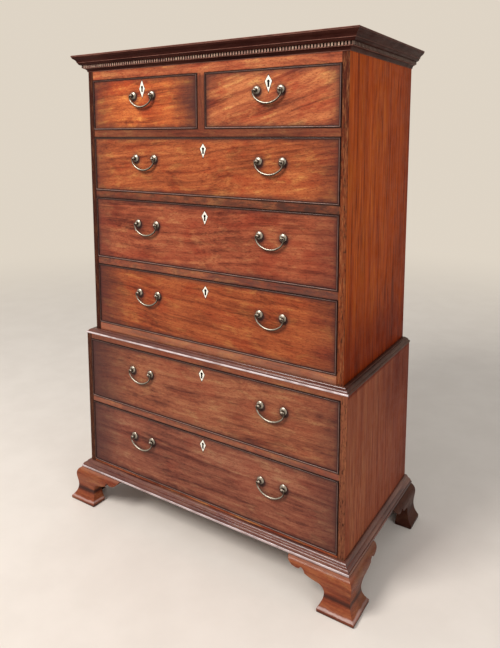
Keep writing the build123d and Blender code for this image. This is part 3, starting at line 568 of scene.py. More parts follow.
class Value:
    """A number or a colour that a node gives. Each sum or step done on it adds a node."""

    kind = "ShaderNodeMath"
    __array_ufunc__ = None  # so that numpy's numbers leave a sum with a value to this class

    def __init__(self, nodes, socket):
        self.nodes, self.socket = nodes, socket

    def done(self, operation, *inputs):
        """A new value from an operation on its inputs, in their order."""
        return self.nodes.value(self.kind, dict(enumerate(inputs)), made=type(self), operation=operation)

    __add__ = __radd__ = method("ADD")
    __mul__ = __rmul__ = method("MULTIPLY")
    __sub__, __truediv__, __abs__ = method("SUBTRACT"), method("DIVIDE"), method("ABSOLUTE")
    least, most, root = method("MINIMUM"), method("MAXIMUM"), method("SQRT")

    def __rsub__(self, other):
        return self.done("SUBTRACT", other, self)

    def spread(self, low, high, to_low=0.0, to_high=1.0):
        """A smooth step from one number to another while this one goes from low to high."""
        inputs = {"Value": self, "From Min": low, "From Max": high, "To Min": to_low, "To Max": to_high}
        return self.nodes.value("ShaderNodeMapRange", inputs, interpolation_type="SMOOTHSTEP")

    def bands(self, scale, detail):
        """Uneven bands along this number."""
        inputs = {"W": self, "Scale": scale, "Detail": detail}
        return self.nodes.value("ShaderNodeTexNoise", inputs, noise_dimensions="1D")

    def bump(self, distance, strength):
        """The surface's normal where this is its height."""
        inputs = {"Height": self, "Distance": distance, "Strength": strength}
        return self.nodes.value("ShaderNodeBump", inputs)

    def ramp(self, *stops):
        """Colours at positions along this number."""
        node = self.nodes.add("ShaderNodeValToRGB", {0: self})
        elements = node.color_ramp.elements
        while len(elements) < len(stops):
            elements.new(0.5)
        for element, (position, colour) in zip(elements, stops):
            element.position = position
            element.color = (*colour, 1)
        return Value(self.nodes, node.outputs[0])

    def between(self, first, second, blend="MIX"):
        """The colour that lies this share of the way from one to another."""
        inputs = {0: self, 6: first, 7: second}
        return self.nodes.value("ShaderNodeMix", inputs, 2, data_type="RGBA", blend_type=blend)

    def stained(self, amount, stain):
        """This colour with an amount of another laid over it."""
        return amount.between(self, stain)

    def tinted(self, amount, tint):
        """This colour multiplied by another as far as the amount says."""
        return amount.between(self, tint, "MULTIPLY")


class Vector(Value):
    """A place that a node gives."""

    kind = "ShaderNodeVectorMath"

    def parts(self):
        """Its x, y and z."""
        outputs = self.nodes.add("ShaderNodeSeparateXYZ", {0: self}).outputs
        return [Value(self.nodes, socket) for socket in outputs]

    def length(self):
        return self.nodes.value(self.kind, {0: self}, "Value", operation="LENGTH")

    def noise(self, scale, detail=2.0, roughness=0.5, distortion=0.0):
        """Soft noise, of one scale or of one for each axis."""
        place, scale = (self * scale, 1.0) if isinstance(scale, tuple) else (self, scale)
        inputs = {"Vector": place, "Scale": scale, "Detail": detail, "Roughness": roughness}
        return self.nodes.value("ShaderNodeTexNoise", {**inputs, "Distortion": distortion})


class Finish(Nodes):
    """One material. place is the place on the object, in its own coordinates."""

    def __init__(self, name):
        self.material = bpy.data.materials.new(name)
        super().__init__(self.material)
        self.surface = self.add("ShaderNodeBsdfPrincipled")
        self.output = self.add("ShaderNodeOutputMaterial", {"Surface": self.surface.outputs["BSDF"]})
        self.place = self.value("ShaderNodeTexCoord", output="Object", made=Vector)

    def rub(self):
        """How much the surface is rubbed, and how much painted highlight and shade its finish gets, written
        with the mesh.
        """
        return self.value("ShaderNodeAttribute", output="Fac", attribute_name="rub")

    def crevice(self, distance):
        """0 in the open, rising to 1 in corners and hollows."""
        return 1.0 - self.value("ShaderNodeAmbientOcclusion", {"Distance": distance}, "AO", samples=6)

    def set(self, **inputs):
        """Feeds the surface's inputs, each under its name, and gives the material."""
        for key, value in inputs.items():
            self.feed(self.surface.inputs[key.replace("_", " ")], value)
        return self.material


def along_grain(finish, grain, seed):
    """The place turned so that its first part runs along the grain, and shifted for each board."""
    parts = finish.place.parts()
    first = "XYZ".index(grain)
    turned = finish.join(*parts[first:], *parts[:first])
    shift = finish.value("ShaderNodeNewGeometry", output="Random Per Island") * 9.0
    return turned + finish.join(shift, shift, shift) + (3.7 * seed, 1.9 * seed, 5.3 * seed)


def slanted(place, degrees):
    """The place turned about its second axis, for boards whose figure runs off at a slant."""
    inputs = {"Vector": place, "Axis": (0.0, 1.0, 0.0), "Angle": radians(degrees)}
    return place.nodes.value("ShaderNodeVectorRotate", inputs, made=Vector, rotation_type="AXIS_ANGLE")


def mottled(place, colour, amount):
    """Broad patches of redder wood and smaller ones of golden wood."""
    red = place.noise((7.0, 16.0, 16.0), 3.0, 0.6, 0.5)
    gold = place.noise((15.0, 40.0, 40.0), 3.0, 0.6, 0.5)
    colour = colour.tinted(red.spread(0.47, 0.68, 0.0, amount), (0.86, 0.58, 0.60))
    return colour.tinted(gold.spread(0.50, 0.70, 0.0, amount), (1.22, 1.75, 1.60))


def flecked(place, colour, amount):
    """Short dark dashes along the grain."""
    dash = place.noise((130.0, 420.0, 420.0), 2.0, 0.7)
    return colour.tinted(dash.spread(0.50, 0.70, 0.0, amount), (0.52, 0.40, 0.42))


def figure(place, rings=70.0, shares=(0.30, 0.40, 0.30, 0.42), streaks=38.0):
    """Tone of sawn mahogany, about 0.5 on average: growth rings, ribbon streaks, fine grain and
    broad clouds, each with its share.

    The rings are uneven bands of the distance from a log's heart that wanders along the grain.
    """
    wander = (place.noise((1.8, 4.0, 4.0)) - 0.5) * 0.22
    _, across, depth = place.parts()
    across = across + wander
    ring = (across * across + depth * depth).root().bands(rings, 3.0)
    wavy = place + place.nodes.join(0.0, wander, 0.0)
    streak = wavy.noise((3.0, streaks, streaks), 4.0, 0.6)
    fine = wavy.noise((14.0, 230.0, 230.0), 3.0, 0.6)
    cloud = wavy.noise((4.2, 7.5, 7.5), 3.0, 0.55)
    tone = 0.5
    for value, share in zip((ring, streak, fine, cloud), shares):
        tone = tone + (value - 0.5) * (2 * share)
    return tone


def pores(place, length=55.0, width=1100.0):
    """Short dark pores along the grain, 1 in a pore."""
    return place.noise((length, width, width), 1.0).spread(0.56, 0.70)


# dark purple-brown, for marks of grime and painted shade
GRIME_AND_SHADE = (0.045, 0.016, 0.018)


def darkened_edges(finish, colour, low, high, ends):
    """Darker towards the edges of a drawer front, widely at its ends and narrowly along its other
    edges, with a ragged outline, and near black just inside the beads as painted shade and grime.
    ends says how dark the left and the right end are."""
    left, _, bottom = (finish.place - tuple(low)).parts()
    right, _, top = (tuple(high) - finish.place).parts()
    ragged = (finish.place.noise(17.0, 4.0, 0.65) - 0.5) * (60 * MM)
    for (amount, width), side in zip(ends, (left, right)):
        reach = side + ragged * 1.6
        colour = colour.stained(reach.spread(0.0, width * MM, amount, 0.0), GRIME_AND_SHADE)
    nearest = left.least(right).least(bottom).least(top)
    edge = nearest + ragged * 0.5
    colour = colour.stained(edge.spread(1 * MM, 22 * MM, 0.62, 0.0), GRIME_AND_SHADE)
    # near black just inside the proud beads: painted shade and grime
    return colour.stained(nearest.spread(3.5 * MM, 7.5 * MM, 0.85, 0.0), (0.020, 0.008, 0.008))


def shade_and_grime_round_drawers(finish, colour):
    """Dark lines on the case round each drawer: painted shade of the gap and the proud bead, with grime in
    it.

    The distance outside a drawer front is the greater of the sideways and the upright one.
    """
    nearest = 1.0
    for drawer in DRAWERS:
        low, high = map(np.array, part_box(f"{drawer}_front"))
        apart = abs(finish.place - tuple((low + high) / 2)) - tuple((high - low) / 2)
        sideways, _, upright = apart.parts()
        nearest = sideways.most(upright).least(nearest)
    # near black band just outside each drawer front: painted shade and grime
    return colour.stained(nearest.spread(1.5 * MM, 5 * MM, 0.88, 0.0), (0.012, 0.006, 0.006))


# The rails below some drawers are stained: how much, and towards which colour
RAIL_STAINS = {
    "drawer_3": (0.70, (0.050, 0.022, 0.018)),
    "drawer_4": (0.55, (0.060, 0.034, 0.034)),
    "drawer_5": (0.45, (0.260, 0.135, 0.095)),
    "drawer_6": (0.50, (0.110, 0.062, 0.052)),
}


def rail_marks(finish, colour):
    """Marks of the rails: painted shade and grime where they meet a drawer, darker round the short
    drawers and just under the waist, and stained below some of the long drawers, most at the right end."""
    x, _, z = finish.place.parts()
    patchy = finish.place.noise((26.0, 60.0, 60.0), 3.0, 0.6).spread(0.35, 0.65, 0.7, 1.15)
    rightwards = x.spread(0.0, 0.4, 1.0, 1.2) * patchy
    for drawer, (amount, stain) in RAIL_STAINS.items():
        away = abs(z - (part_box(f"{drawer}_front")[0][2] - 14 * MM))
        colour = colour.stained(away.spread(18 * MM, 24 * MM, amount, 0.0) * rightwards, stain)
    sill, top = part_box("drawer_6_front")[1][2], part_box("lower_front_rails")[1][2]
    under_waist = z.spread(sill - 2 * MM, sill + 2 * MM, 0.0, 0.6) * z.spread(top, top + 1 * MM, 1.0, 0.0)
    colour = colour.stained(under_waist, (0.105, 0.042, 0.028))
    low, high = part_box("drawer_1_front")
    above = z.spread(low[2] - 40 * MM, low[2] - 20 * MM)
    below = z.spread(high[2] - 10 * MM, high[2] + 4 * MM, 1.0, 0.0)
    colour = colour.stained(above * below * 0.62, (0.055, 0.018, 0.014))
    return shade_and_grime_round_drawers(finish, colour)


def painted_shadow_round_plate(finish, colour, plate):
    """A near-black painted shadow line round the escutcheon: a kite a little larger than the plate.

    The kite's measure is the sideways distance over its half width plus the distance up or
    down from its widest place over the length that way, which is 1 on the plate's outline.
    """
    x, _, z = finish.place.parts()
    sideways = abs(x - plate.middle_x) / plate.half_width
    rise = z - plate.widest
    kite = sideways + (rise / (plate.high - plate.widest)).most(rise / (plate.low - plate.widest))
    # near-black painted shadow round the plate
    return colour.stained(kite.spread(1.0, 1.28, 0.95, 0.0), (0.008, 0.004, 0.004))


def shadow_and_grime_round_handles(finish, colour, posts, pivots):
    """Painted shadow and grime round the rose of each handle post, mostly below it and to its right,
    and a painted shadow with grime in a soft arc on the front below each bail.

    The arc's measure is the distance from the circle of the bail's belly, taken a little lower.
    """
    nearest = 1.0
    for x, y, z in posts:
        nearest = (finish.place - (x + 2.5 * MM, y, z - 4.5 * MM)).length().least(nearest)
    # painted shadow and grime below and to the right of each rose
    colour = colour.stained(nearest.spread(12.5 * MM, 19 * MM, 0.95, 0.0), (0.012, 0.005, 0.006))
    colour = colour.stained(nearest.spread(16 * MM, 30 * MM, 0.35, 0.0), GRIME_AND_SHADE)
    # painted shadow and grime in an arc below each bail
    arcs = 0.0
    for x, y, z in pivots:
        across, _, rise = (finish.place - (x + 2 * MM, y, z - 6 * MM)).parts()
        upwards = rise - 10 * MM
        line = abs((across * across + upwards * upwards).root() - 50 * MM)
        shown = line.spread(0.0, 12 * MM, 0.48, 0.0) * rise.spread(-24 * MM, -8 * MM, 1.0, 0.0)
        arcs = shown.most(arcs)
    return colour.stained(arcs, (0.040, 0.012, 0.012))


def stile_face(finish, front, dark, light, heights, amounts):
    """Colour of the front edge of a side board, and where it shows: the last millimetre.

    It is streaked along its length, goes from one amount of the light colour to another
    between two heights, and is darker on the left side.
    """
    x, y, z = finish.place.parts()
    streaks = finish.place.noise((300.0, 300.0, 9.0), 3.0, 0.6)
    specks = finish.place.noise((260.0, 260.0, 60.0), 3.0, 0.7)
    golden = finish.place.noise((380.0, 380.0, 24.0), 4.0, 0.75)
    amount = (streaks - 0.5) * 0.9 + z.spread(*heights, *amounts) + x.spread(-0.1, 0.1, -0.75, 0.0)
    colour = amount.between(dark, light)
    colour = colour.stained(specks.spread(0.52, 0.62, 0.0, 0.85), (0.035, 0.013, 0.010))
    colour = colour.stained(golden.spread(0.48, 0.68, 0.0, 0.55), (0.42, 0.17, 0.070))
    colour = colour.stained(x.spread(-0.1, 0.1, 0.55, 0.0), (0.028, 0.010, 0.008))
    return y.spread(front + 0.2 * MM, front + 1.4 * MM, 1.0, 0.0), colour


def mahogany(
    name, grain, tones, seed, soot=0.8, gloss=0.38, shine=0.2, glint=(1.0, 0.74, 0.58), rub_colour=None,
    mottle=0.5, flecks=0.5, slant=0.0, straight=False, coat=0.0, marks=None,
):
    """Waxed mahogany. tones are its dark, middle and light colours; the rub colour is that of the
    wear and painted highlight on the arrises that a mesh marks, if it has any; glint is the hue of
    its gloss; mottle and flecks are how strong its patches and dashes are; marks adds stains,
    painted shade and painted highlights to the colour."""
    finish = Finish(name)
    place = along_grain(finish, grain, seed)
    turned = slanted(place, slant) if slant else place
    if straight:
        place = turned = place * (0.3, 1.0, 1.0)
    grain_of = {"shares": (0.10, 0.42, 0.60, 0.12), "streaks": 80.0} if straight else {}
    dark, middle, light = tones
    colour = figure(turned, **grain_of).ramp((0.20, dark), (0.5, middle), (0.80, light))
    colour = mottled(turned, colour, mottle)
    colour = flecked(place, colour, flecks)
    pore = pores(place, 20.0, 700.0) if straight else pores(place)
    colour = colour.stained(pore * 0.35, [0.35 * c for c in dark])
    if marks:
        colour = marks(finish, colour)
    # painted highlight and wear on the arrises that the mesh marks
    if rub_colour:
        patchy = finish.place.noise(24.0, 3.0).spread(0.30, 0.62, 0.5, 1.0)
        colour = colour.stained(finish.rub().spread(0.25, 0.9) * patchy, rub_colour)
    # corners, creases and hollows darkened near black: grime and painted shade
    dirt_and_shade = finish.crevice(14 * MM).spread(0.25, 0.85, 0.0, soot)
    colour = colour.stained(dirt_and_shade, (0.010, 0.005, 0.005))
    scuffs = finish.place.noise(28.0, 4.0, 0.6)
    height = pore * -0.6 + finish.place.noise(14.0)
    return finish.set(
        Base_Color=colour,
        Roughness=scuffs.spread(0.3, 0.75, gloss - 0.06, gloss + 0.12),
        Normal=height.bump(0.35 * MM, 0.5),
        Specular_IOR_Level=shine,
        Specular_Tint=glint,
        Coat_Weight=coat,
        Coat_Roughness=0.18,
    )


def bare_wood(name, grain, tones, seed, dust):
    """Unpolished oak or pine with age and dust: the same figure, matt, with open pores."""
    finish = Finish(name)
    place = along_grain(finish, grain, seed)
    tone = figure(place, rings=110.0, shares=(0.5, 0.3, 0.3, 0.35))
    dark, middle, light = tones
    colour = tone.ramp((0.15, dark), (0.5, middle), (0.85, light))
    pore = pores(place, 40.0, 800.0)
    colour = colour.stained(pore * 0.4, [0.4 * c for c in dark])
    stain = finish.place.noise(4.0, 4.0, 0.6).spread(0.5, 0.75, 0.0, dust)
    colour = colour.stained(stain, (0.10, 0.07, 0.045))
    # corners and hollows darkened: grime and painted shade
    colour = colour.stained(finish.crevice(18 * MM).spread(0.2, 0.9, 0.0, 0.7), (0.02, 0.014, 0.010))
    normal = (tone * 1.2 - pore).bump(0.5 * MM, 0.6)
    return finish.set(Base_Color=colour, Roughness=0.78, Normal=normal, Specular_IOR_Level=0.3)


def brass(name, bright, tarnish, polish, rubbed=True):
    """Cast brass: bright where hands rub it and where the mesh marks a painted highlight, brown to black
    where neither reaches.
    """
    finish = Finish(name)
    cloudy = finish.place.noise(140.0, 4.0, 0.6)
    # the mesh's rub holds wear and painted highlight
    worn_and_lit = finish.rub() * 1.5 if rubbed else 0.9
    dull = (finish.crevice(7 * MM) * 1.3 + cloudy - worn_and_lit).spread(-0.55, 0.30)
    colour = dull.between(bright, tarnish)
    if not rubbed:
        colour = colour.stained(finish.crevice(10 * MM).spread(0.35, 0.8), (0.006, 0.005, 0.004))
    height = finish.place.noise(900.0) + cloudy * 2.0
    rough = dull.spread(0.0, 1.0, polish, 0.60)
    return finish.set(Base_Color=colour, Metallic=1.0, Roughness=rough, Normal=height.bump(0.12 * MM, 0.6))


def bone(name):
    """Polished bone: pale, with fine length-wise lines, yellowed, and near black at its edges: grime at its
    outer rim and painted shade on the walls of the keyhole.
    """
    finish = Finish(name)
    lines = finish.place.noise((1500.0, 1500.0, 90.0))
    colour = finish.place.noise(90.0).between((0.93, 0.91, 0.85), (0.84, 0.80, 0.70))
    colour = colour.stained(lines.spread(0.58, 0.75, 0.0, 0.25), (0.55, 0.48, 0.36))
    # near black where rub is low: grime at the rim, painted shade in the keyhole
    colour = colour.stained(finish.rub().spread(0.22, 0.50, 1.0, 0.0), (0.018, 0.012, 0.008))
    return finish.set(Base_Color=colour, Roughness=0.34, Specular_IOR_Level=0.5)


def toned(middle, dark=(0.36, 0.28, 0.36), light=(1.42, 1.85, 1.75)):
    """Dark, middle and light tones of a wood from its middle one."""
    return [tuple(np.array(middle) * share) for share in (dark, (1, 1, 1), light)]


# Middle tones of the case's woods, and the dark and light ones of its stiles, linear
SIDE_TONE = (0.325, 0.050, 0.007)
LOWER_SIDE_TONE = (0.250, 0.064, 0.034)
STILE_TONES = ((0.060, 0.014, 0.010), (0.235, 0.054, 0.019))
LOWER_STILE_TONES = ((0.090, 0.029, 0.018), (0.250, 0.082, 0.044))
RAIL_TONE = (0.370, 0.092, 0.038)
CORNICE_TONE = (0.036, 0.0085, 0.0065)
# pale dentil faces: wear and painted highlight
DENTIL_TONE = (0.36, 0.215, 0.170)
MOULDING_TONE = (0.140, 0.044, 0.030)
# a darker copy of the moulding's tone: painted shade on the waist's sides
SHADED_MOULDING_TONE = (0.060, 0.019, 0.013)
FOOT_TONE = (0.225, 0.054, 0.023)
# the feet's tone darkened for the rear feet: painted shade
SHADED_REAR_FOOT_TONE = (0.058, 0.017, 0.011)
BEAD_TONE = (0.045, 0.016, 0.014)
LINING_TONES = ((0.13, 0.075, 0.036), (0.27, 0.165, 0.085), (0.38, 0.250, 0.140))
BACK_TONES = ((0.09, 0.052, 0.028), (0.17, 0.105, 0.058), (0.25, 0.165, 0.095))


def by_grain(maker, name, tones, seed, **settings):
    """A function that gives one material for each grain direction, made when first asked for."""
    made = {}

    def finish(axis):
        if axis not in made:
            made[axis] = maker(f"{name}_{axis.lower()}", axis, tones, seed, **settings)
        return made[axis]

    return finish


def side_marks(front, *stile):
    """Marks of a side board: lighter and more golden near its front, darker at its back edge, at the
    foot of the upper case and at the top of the lower one. Its front edge has the stile's own colour
    and the painted shade and grime round the drawers."""

    def marks(finish, colour):
        _, y, z = finish.place.parts()
        upper = z.spread(CASES_PART, CASES_PART + 10 * MM)
        low = z.spread(0.70, 0.95, 0.85, 0.0) * upper
        high = z.spread(0.30, 0.60, 0.0, 0.6) * (1.0 - upper) * y.spread(BACK - 0.40, BACK - 0.1, 0.2, 1.0)
        back = y.spread(BACK - 0.14, BACK, 0.0, 0.45)
        colour = colour.tinted(y.spread(front, BACK - 0.1, 0.55, 0.0), (1.22, 1.50, 1.30))
        colour = colour.tinted(low.most(high).most(back), (0.45, 0.25, 0.25))
        shown, edge = stile_face(finish, front, *stile)
        return colour.stained(shown, shade_and_grime_round_drawers(finish, edge))

    return marks


def foot_marks(finish, colour):
    """Marks of a foot: grime and painted shade at the floor, painted highlights on the toe's shoulder and at
    the top, and painted shade in the hollow and on the side bracket.
    """
    _, y, z = finish.place.parts()
    z = z + (finish.place.noise((30.0, 30.0, 60.0), 3.0, 0.6) - 0.5) * (8 * MM)
    line, hollow = abs(z - 14 * MM), abs(z - 46 * MM)
    # grime and painted shade at the floor
    colour = colour.stained(z.spread(0.0, 10 * MM, 0.75, 0.0), (0.03, 0.012, 0.010))
    # painted highlight along the toe's rounded shoulder
    colour = colour.stained(line.spread(0.5 * MM, 4 * MM, 0.65, 0.0), (0.50, 0.33, 0.31))
    # painted shade in the hollow above the toe
    colour = colour.stained(hollow.spread(1 * MM, 11 * MM, 0.85, 0.0), (0.03, 0.010, 0.009))
    # painted shade on the side bracket, which faces away from the light
    beside = y.spread(LOWER_FRONT - 12 * MM, LOWER_FRONT + 20 * MM, 0.0, 0.45)
    colour = colour.stained(beside, (0.035, 0.012, 0.009))
    # painted highlight at the top of the foot, under the base moulding
    return colour.stained(z.spread(112 * MM, 120 * MM, 0.0, 0.35), (0.40, 0.20, 0.14))


def dentil_marks(finish, colour):
    """Painted shade on the dentils: darker along the sides of the chest, and black in the gaps between them,
    which lie behind their faces.

    How far a point stands out is the greater of the way out in front and at the sides.
    """
    x, y, _ = finish.place.parts()
    sideways = abs(x) - UPPER_HALF
    stand = (UPPER_FRONT - y).most(sideways)
    # painted shade on the dentils along the sides
    colour = colour.stained(sideways.spread(6 * MM, 8 * MM, 0.0, 0.8), (0.045, 0.020, 0.016))
    # painted shade, near black, in the gaps between the dentils
    gap = stand.spread(DENTIL_PROUD - 2.5 * MM, DENTIL_PROUD - 0.5 * MM, 1.0, 0.0)
    return colour.stained(gap, (0.010, 0.005, 0.005))


# the cornice's rub colour: painted highlight along its arrises, with wear
cornice_wood = by_grain(
    mahogany, "cornice_mahogany", toned(CORNICE_TONE), 1, soot=0.7, shine=0.05,
    rub_colour=(0.30, 0.135, 0.105),
)
dentil_wood = by_grain(
    mahogany, "dentil_mahogany", toned(DENTIL_TONE), 1, soot=0.7, mottle=0.2, marks=dentil_marks
)
# pale lilac-white rub colour: painted reflection and highlight on the arrises, with wear
moulding_wood = by_grain(
    mahogany, "moulding_mahogany", toned(MOULDING_TONE), 2, gloss=0.33, shine=0.3,
    glint=(0.95, 0.92, 1.0), rub_colour=(0.68, 0.58, 0.60), coat=0.4,
)
# a darker, duller copy of the moulding's finish: painted shade on the waist's sides
shaded_moulding_wood = by_grain(
    mahogany, "dull_moulding_mahogany", toned(SHADED_MOULDING_TONE), 2, gloss=0.42, shine=0.15,
    rub_colour=(0.40, 0.25, 0.20), coat=0.1,
)


def waist_wood(axis):
    """The waist moulding's finish: lighter along the front, and a darker, duller copy along the sides as
    painted shade.
    """
    return moulding_wood(axis) if axis == "X" else shaded_moulding_wood(axis)


foot_wood = by_grain(mahogany, "foot_mahogany", toned(FOOT_TONE), 3, shine=0.12, coat=0.15, marks=foot_marks)
# rear feet: a darker copy of the feet's finish, as painted shade
shaded_rear_foot_wood = by_grain(mahogany, "rear_foot_mahogany", toned(SHADED_REAR_FOOT_TONE), 3, shine=0.1)
rail_wood = by_grain(mahogany, "rail_mahogany", toned(RAIL_TONE), 4, mottle=0.9, flecks=0.9, marks=rail_marks)
side_finish = {"shine": 0.02, "glint": (1.0, 0.5, 0.25), "flecks": 0.2, "straight": True}
upper_side_wood = by_grain(
    mahogany, "upper_side_mahogany", toned(SIDE_TONE), 5, mottle=0.4, **side_finish,
    marks=side_marks(UPPER_FRONT, *STILE_TONES, (1.12, 1.50), (0.60, 0.08)),
)
lower_side_wood = by_grain(
    mahogany, "lower_side_mahogany", toned(LOWER_SIDE_TONE, (0.58, 0.46, 0.50), (1.25, 1.5, 1.45)), 6,
    mottle=0.3, **side_finish,
    marks=side_marks(LOWER_FRONT, *LOWER_STILE_TONES, (0.30, 0.60), (0.40, 0.75)),
)
lining_wood = by_grain(bare_wood, "drawer_lining_oak", LINING_TONES, 7, dust=0.25)
back_wood = by_grain(bare_wood, "back_board_pine", BACK_TONES, 8, dust=0.6)
# the bead's rub colour: its painted highlight
bead_wood = mahogany(
    "cockbead_mahogany", "X", toned(BEAD_TONE), 9, soot=0.3, gloss=0.36, shine=0.25, glint=(1.0, 0.84, 0.78),
    rub_colour=(0.50, 0.30, 0.26), coat=0.2,
)
handle_brass = brass("handle_brass", (0.38, 0.34, 0.29), (0.060, 0.046, 0.034), 0.38)
lock_brass = brass("lock_brass", (0.50, 0.38, 0.20), (0.14, 0.10, 0.05), 0.42, rubbed=False)
plate_bone = bone("escutcheon_bone")


# Cases

for case, side_wood in (("upper", upper_side_wood), ("lower", lower_side_wood)):
    for hand in ("left", "right"):
        timbers(f"{case}_side_{hand}", side_wood, 0.9 * MM, grain="Z")
    timbers(f"{case}_front_rails", rail_wood)
    for boards in ("top_and_bottom_boards", "back_boards", "runners"):
        timbers(f"{case}_{boards}", back_wood)
for end, end_wood in (("front", foot_wood), ("rear", shaded_rear_foot_wood)):
    for hand in ("left", "right"):
        timbers(f"foot_{end}_{hand}", end_wood)
timbers("cornice_dentils", dentil_wood, 0.4 * MM)

cornice_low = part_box("cornice")[0]
mitred_moulding("cornice", CORNICE_OUTLINE, UPPER_HALF, UPPER_FRONT, cornice_low[2], cornice_wood, 0.85, 0.7)
base_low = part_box("base_moulding")[0]
mitred_moulding("base_moulding", BASE_OUTLINE, LOWER_HALF, LOWER_FRONT, base_low[2], moulding_wood)
waist_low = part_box("waist_moulding")[0]
waist_half, waist_front = UPPER_HALF + WAIST_CLEARANCE, UPPER_FRONT - WAIST_CLEARANCE
mitred_moulding("waist_moulding", WAIST_OUTLINE, waist_half, waist_front, waist_low[2], waist_wood)


# Drawers


class Plate:
    """Outline of an escutcheon: a kite."""

    def __init__(self, middle_x, ceiling, drop, height, waist_share):
        self.middle_x = middle_x
        self.middle_z = ceiling - drop * MM
        self.half_width = PLATE_HALF_WIDTH
        self.low = self.middle_z - height / 2 * MM
        self.high = self.middle_z + height / 2 * MM
        self.widest = self.low + waist_share * height * MM


# The middle tone of each drawer front; how mottled and how flecked it is, and the slant of its
# figure in degrees; how dark its left and its right end are, and over how many millimetres; and its
# escutcheon's middle below its upper edge, height, and share of the height at the widest place
FRONTS = {
    "drawer_1": ((0.460, 0.107, 0.031), (1.0, 0.9, 5.0), ((0.62, 130), (0.86, 145)), (36, 56, 0.50)),
    "drawer_2": ((0.395, 0.104, 0.041), (1.0, 0.9, 15.0), ((0.35, 60), (0.35, 60)), (41, 48, 0.64)),
    "drawer_3": ((0.360, 0.087, 0.030), (0.9, 0.9, 5.0), ((0.45, 110), (0.55, 120)), (40, 43, 0.64)),
    "drawer_4": ((0.292, 0.068, 0.032), (0.8, 0.8, 2.0), ((0.45, 120), (0.45, 110)), (39, 42, 0.62)),
    "drawer_5": ((0.310, 0.068, 0.023), (0.8, 0.8, -3.0), ((0.70, 170), (0.45, 120)), (39, 40, 0.60)),
    "drawer_6": ((0.265, 0.079, 0.040), (0.6, 0.7, 2.0), ((0.85, 250), (0.50, 120)), (30, 40, 0.60)),
    "drawer_7": ((0.225, 0.067, 0.040), (0.6, 0.7, 0.0), ((0.75, 190), (0.55, 140)), (31, 40, 0.60)),
}


def thick(low, high):
    """Whether a timber of a drawer front is its board, and no bead or escutcheon."""
    return high[1] - low[1] > BOARD_LEAST


def furnish(drawer, seed):
    """One drawer: front, bead, escutcheon, box, lock, posts and bails."""
    low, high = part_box(f"{drawer}_front")
    face = low[1] + BEAD_PROUD
    bails = [body for body in sorted(frame["bodies"]) if body.startswith(f"{drawer}_bail")]
    pivots = [JOINT_OF_BODY[body]["pos_m"] for body in bails]
    posts = [(x + side * POST_HALF_SPACING, face, z) for x, _, z in pivots for side in (-1, 1)]
    middle_tone, (mottle, flecks, slant), ends, place = FRONTS[drawer]
    lock_low, lock_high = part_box(f"{drawer}_lock_bolt")
    plate = Plate((lock_low[0] + lock_high[0]) / 2, high[2], *place)

    def marks(finish, colour):
        """Stains of the front: at its edges, round its handles and round its escutcheon."""
        colour = darkened_edges(finish, colour, low, high, ends)
        colour = shadow_and_grime_round_handles(finish, colour, posts, pivots)
        return painted_shadow_round_plate(finish, colour, plate)

    front_wood = mahogany(
        f"{drawer}_mahogany", "X", toned(middle_tone), seed, mottle=mottle, flecks=flecks, slant=slant,
        marks=marks,
    )
    timbers(f"{drawer}_front", lambda axis: front_wood, arris=0, keep=thick)
    cockbead(drawer, bead_wood)
    escutcheon(drawer, plate, plate_bone)
    timbers(f"{drawer}_box", lining_wood)
    timbers(f"{drawer}_brassware", lambda axis: lock_brass, LOCK_ARRIS, keep=lambda low, high: low[1] > face)
    timbers(f"{drawer}_lock_bolt", lambda axis: lock_brass, LOCK_ARRIS)
    for index, (x, _, z) in enumerate(posts, 1):
        post(f"{drawer}_post_{index}", x, z, face, f"{drawer}_brassware", handle_brass)
    for body in bails:
        bail(body, handle_brass)


for number, drawer in enumerate(DRAWERS, 1):
    furnish(drawer, 10 + number)


# Studio

BACKDROP = (0.735, 0.66, 0.56)
FLOOR_HALF = 9.0  # metres


def floor():
    """Pale floor that fades into the backdrop's colour far from the object."""
    points = FLOOR_HALF * np.array([(-1, -1, 0), (1, -1, 0), (1, 1, 0), (-1, 1, 0)])
    mesh = surface("studio_floor", points, [[0, 1, 2, 3]])
    finish = Finish("studio_floor")
    cloud = finish.place.noise(5.0, 4.0, 0.6).spread(0.3, 0.7)
    colour = cloud.between((0.84, 0.79, 0.74), (0.88, 0.83, 0.78))
    finish.set(Base_Color=colour, Roughness=0.6, Specular_IOR_Level=0.2)
    backdrop = finish.value("ShaderNodeEmission", {"Color": BACKDROP, "Strength": 1.0})
    away = (finish.place * (1.0, 1.0, 0.0)).length().spread(1.6, 5.5)
    shades = {0: away, 1: finish.surface.outputs["BSDF"], 2: backdrop}
    finish.feed(finish.output.inputs["Surface"], finish.value("ShaderNodeMixShader", shades))
    mesh.materials.append(finish.material)
    piece = linked("studio_floor", mesh)


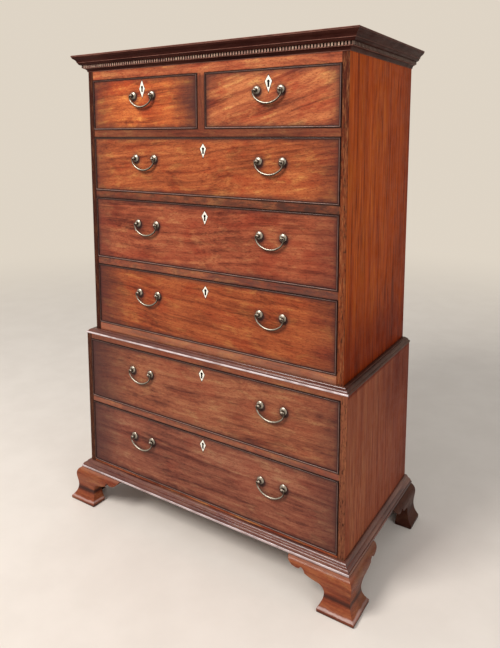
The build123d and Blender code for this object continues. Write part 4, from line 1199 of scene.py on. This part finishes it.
def backdrop_world():
    """A pale backdrop to the camera, glass and gloss, and a soft even light on the object."""
    world = bpy.data.worlds.new("studio")
    bpy.context.scene.world = world
    nodes = Nodes(world)
    light = nodes.value("ShaderNodeBackground", {"Color": (1.0, 0.97, 0.93), "Strength": 0.45})
    seen = nodes.value("ShaderNodeBackground", {"Color": BACKDROP, "Strength": 1.0})
    rays = nodes.add("ShaderNodeLightPath").outputs
    mirrored = Value(nodes, rays["Is Glossy Ray"]).most(rays["Is Transmission Ray"])
    shades = {0: mirrored.most(rays["Is Camera Ray"]), 1: light, 2: seen}
    nodes.add("ShaderNodeOutputWorld", {"Surface": nodes.value("ShaderNodeMixShader", shades)})


def lamp(name, place, target, size, power, colour):
    """A rectangular soft box that faces a point."""
    data = bpy.data.lights.new(name, "AREA")
    data.shape = "RECTANGLE"
    data.size, data.size_y = size
    data.energy = power
    data.color = colour
    light = linked(name, data)
    light.location = place
    light.rotation_euler = aim(np.array(target) - np.array(place))


def aim(direction):
    """Euler turns that point an object's -Z along a direction, with its +Y upwards."""
    x, y, z = direction
    level = float(np.hypot(x, y))
    return (float(np.arctan2(level, -z)), 0.0, float(np.arctan2(-x, y)))


# The camera's lens in the picture's pixels, the height of the lens's axis in it from the top, the
# camera's place from the lower case's front right corner and the floor, and its turns in degrees
FOCAL_PIXELS = 600.14
IMAGE_HEIGHT = 648
AXIS_HEIGHT = 215.0
CAMERA_OUT, CAMERA_FORWARD, CAMERA_UP = 0.6175, 1.460, 1.337
CAMERA_YAW, CAMERA_PITCH = 32.625, 7.317


def camera():
    """The camera of the front view: a plain lens, shifted down so that the uprights stay upright."""
    data = bpy.data.cameras.new("camera")
    data.sensor_fit = "AUTO"
    data.sensor_width = 36.0
    data.lens = FOCAL_PIXELS / IMAGE_HEIGHT * data.sensor_width
    data.shift_y = (AXIS_HEIGHT - IMAGE_HEIGHT / 2) / IMAGE_HEIGHT
    data.clip_end = 50.0
    view = linked("camera", data)
    view.location = (LOWER_HALF + CAMERA_OUT, LOWER_FRONT - CAMERA_FORWARD, CAMERA_UP)
    view.rotation_euler = (pi / 2 - radians(CAMERA_PITCH), 0.0, radians(CAMERA_YAW))
    bpy.context.scene.camera = view


floor()
backdrop_world()
lamp("key", (-1.3, -3.4, 4.0), (0.0, 0.0, 0.9), (1.8, 1.8), 190.0, (1.0, 0.96, 0.90))
lamp("fill", (3.6, -1.5, 2.5), (0.3, 0.0, 0.8), (2.0, 2.5), 34.0, (1.0, 0.98, 0.96))
camera()
bpy.context.scene.view_settings.view_transform = "Standard"
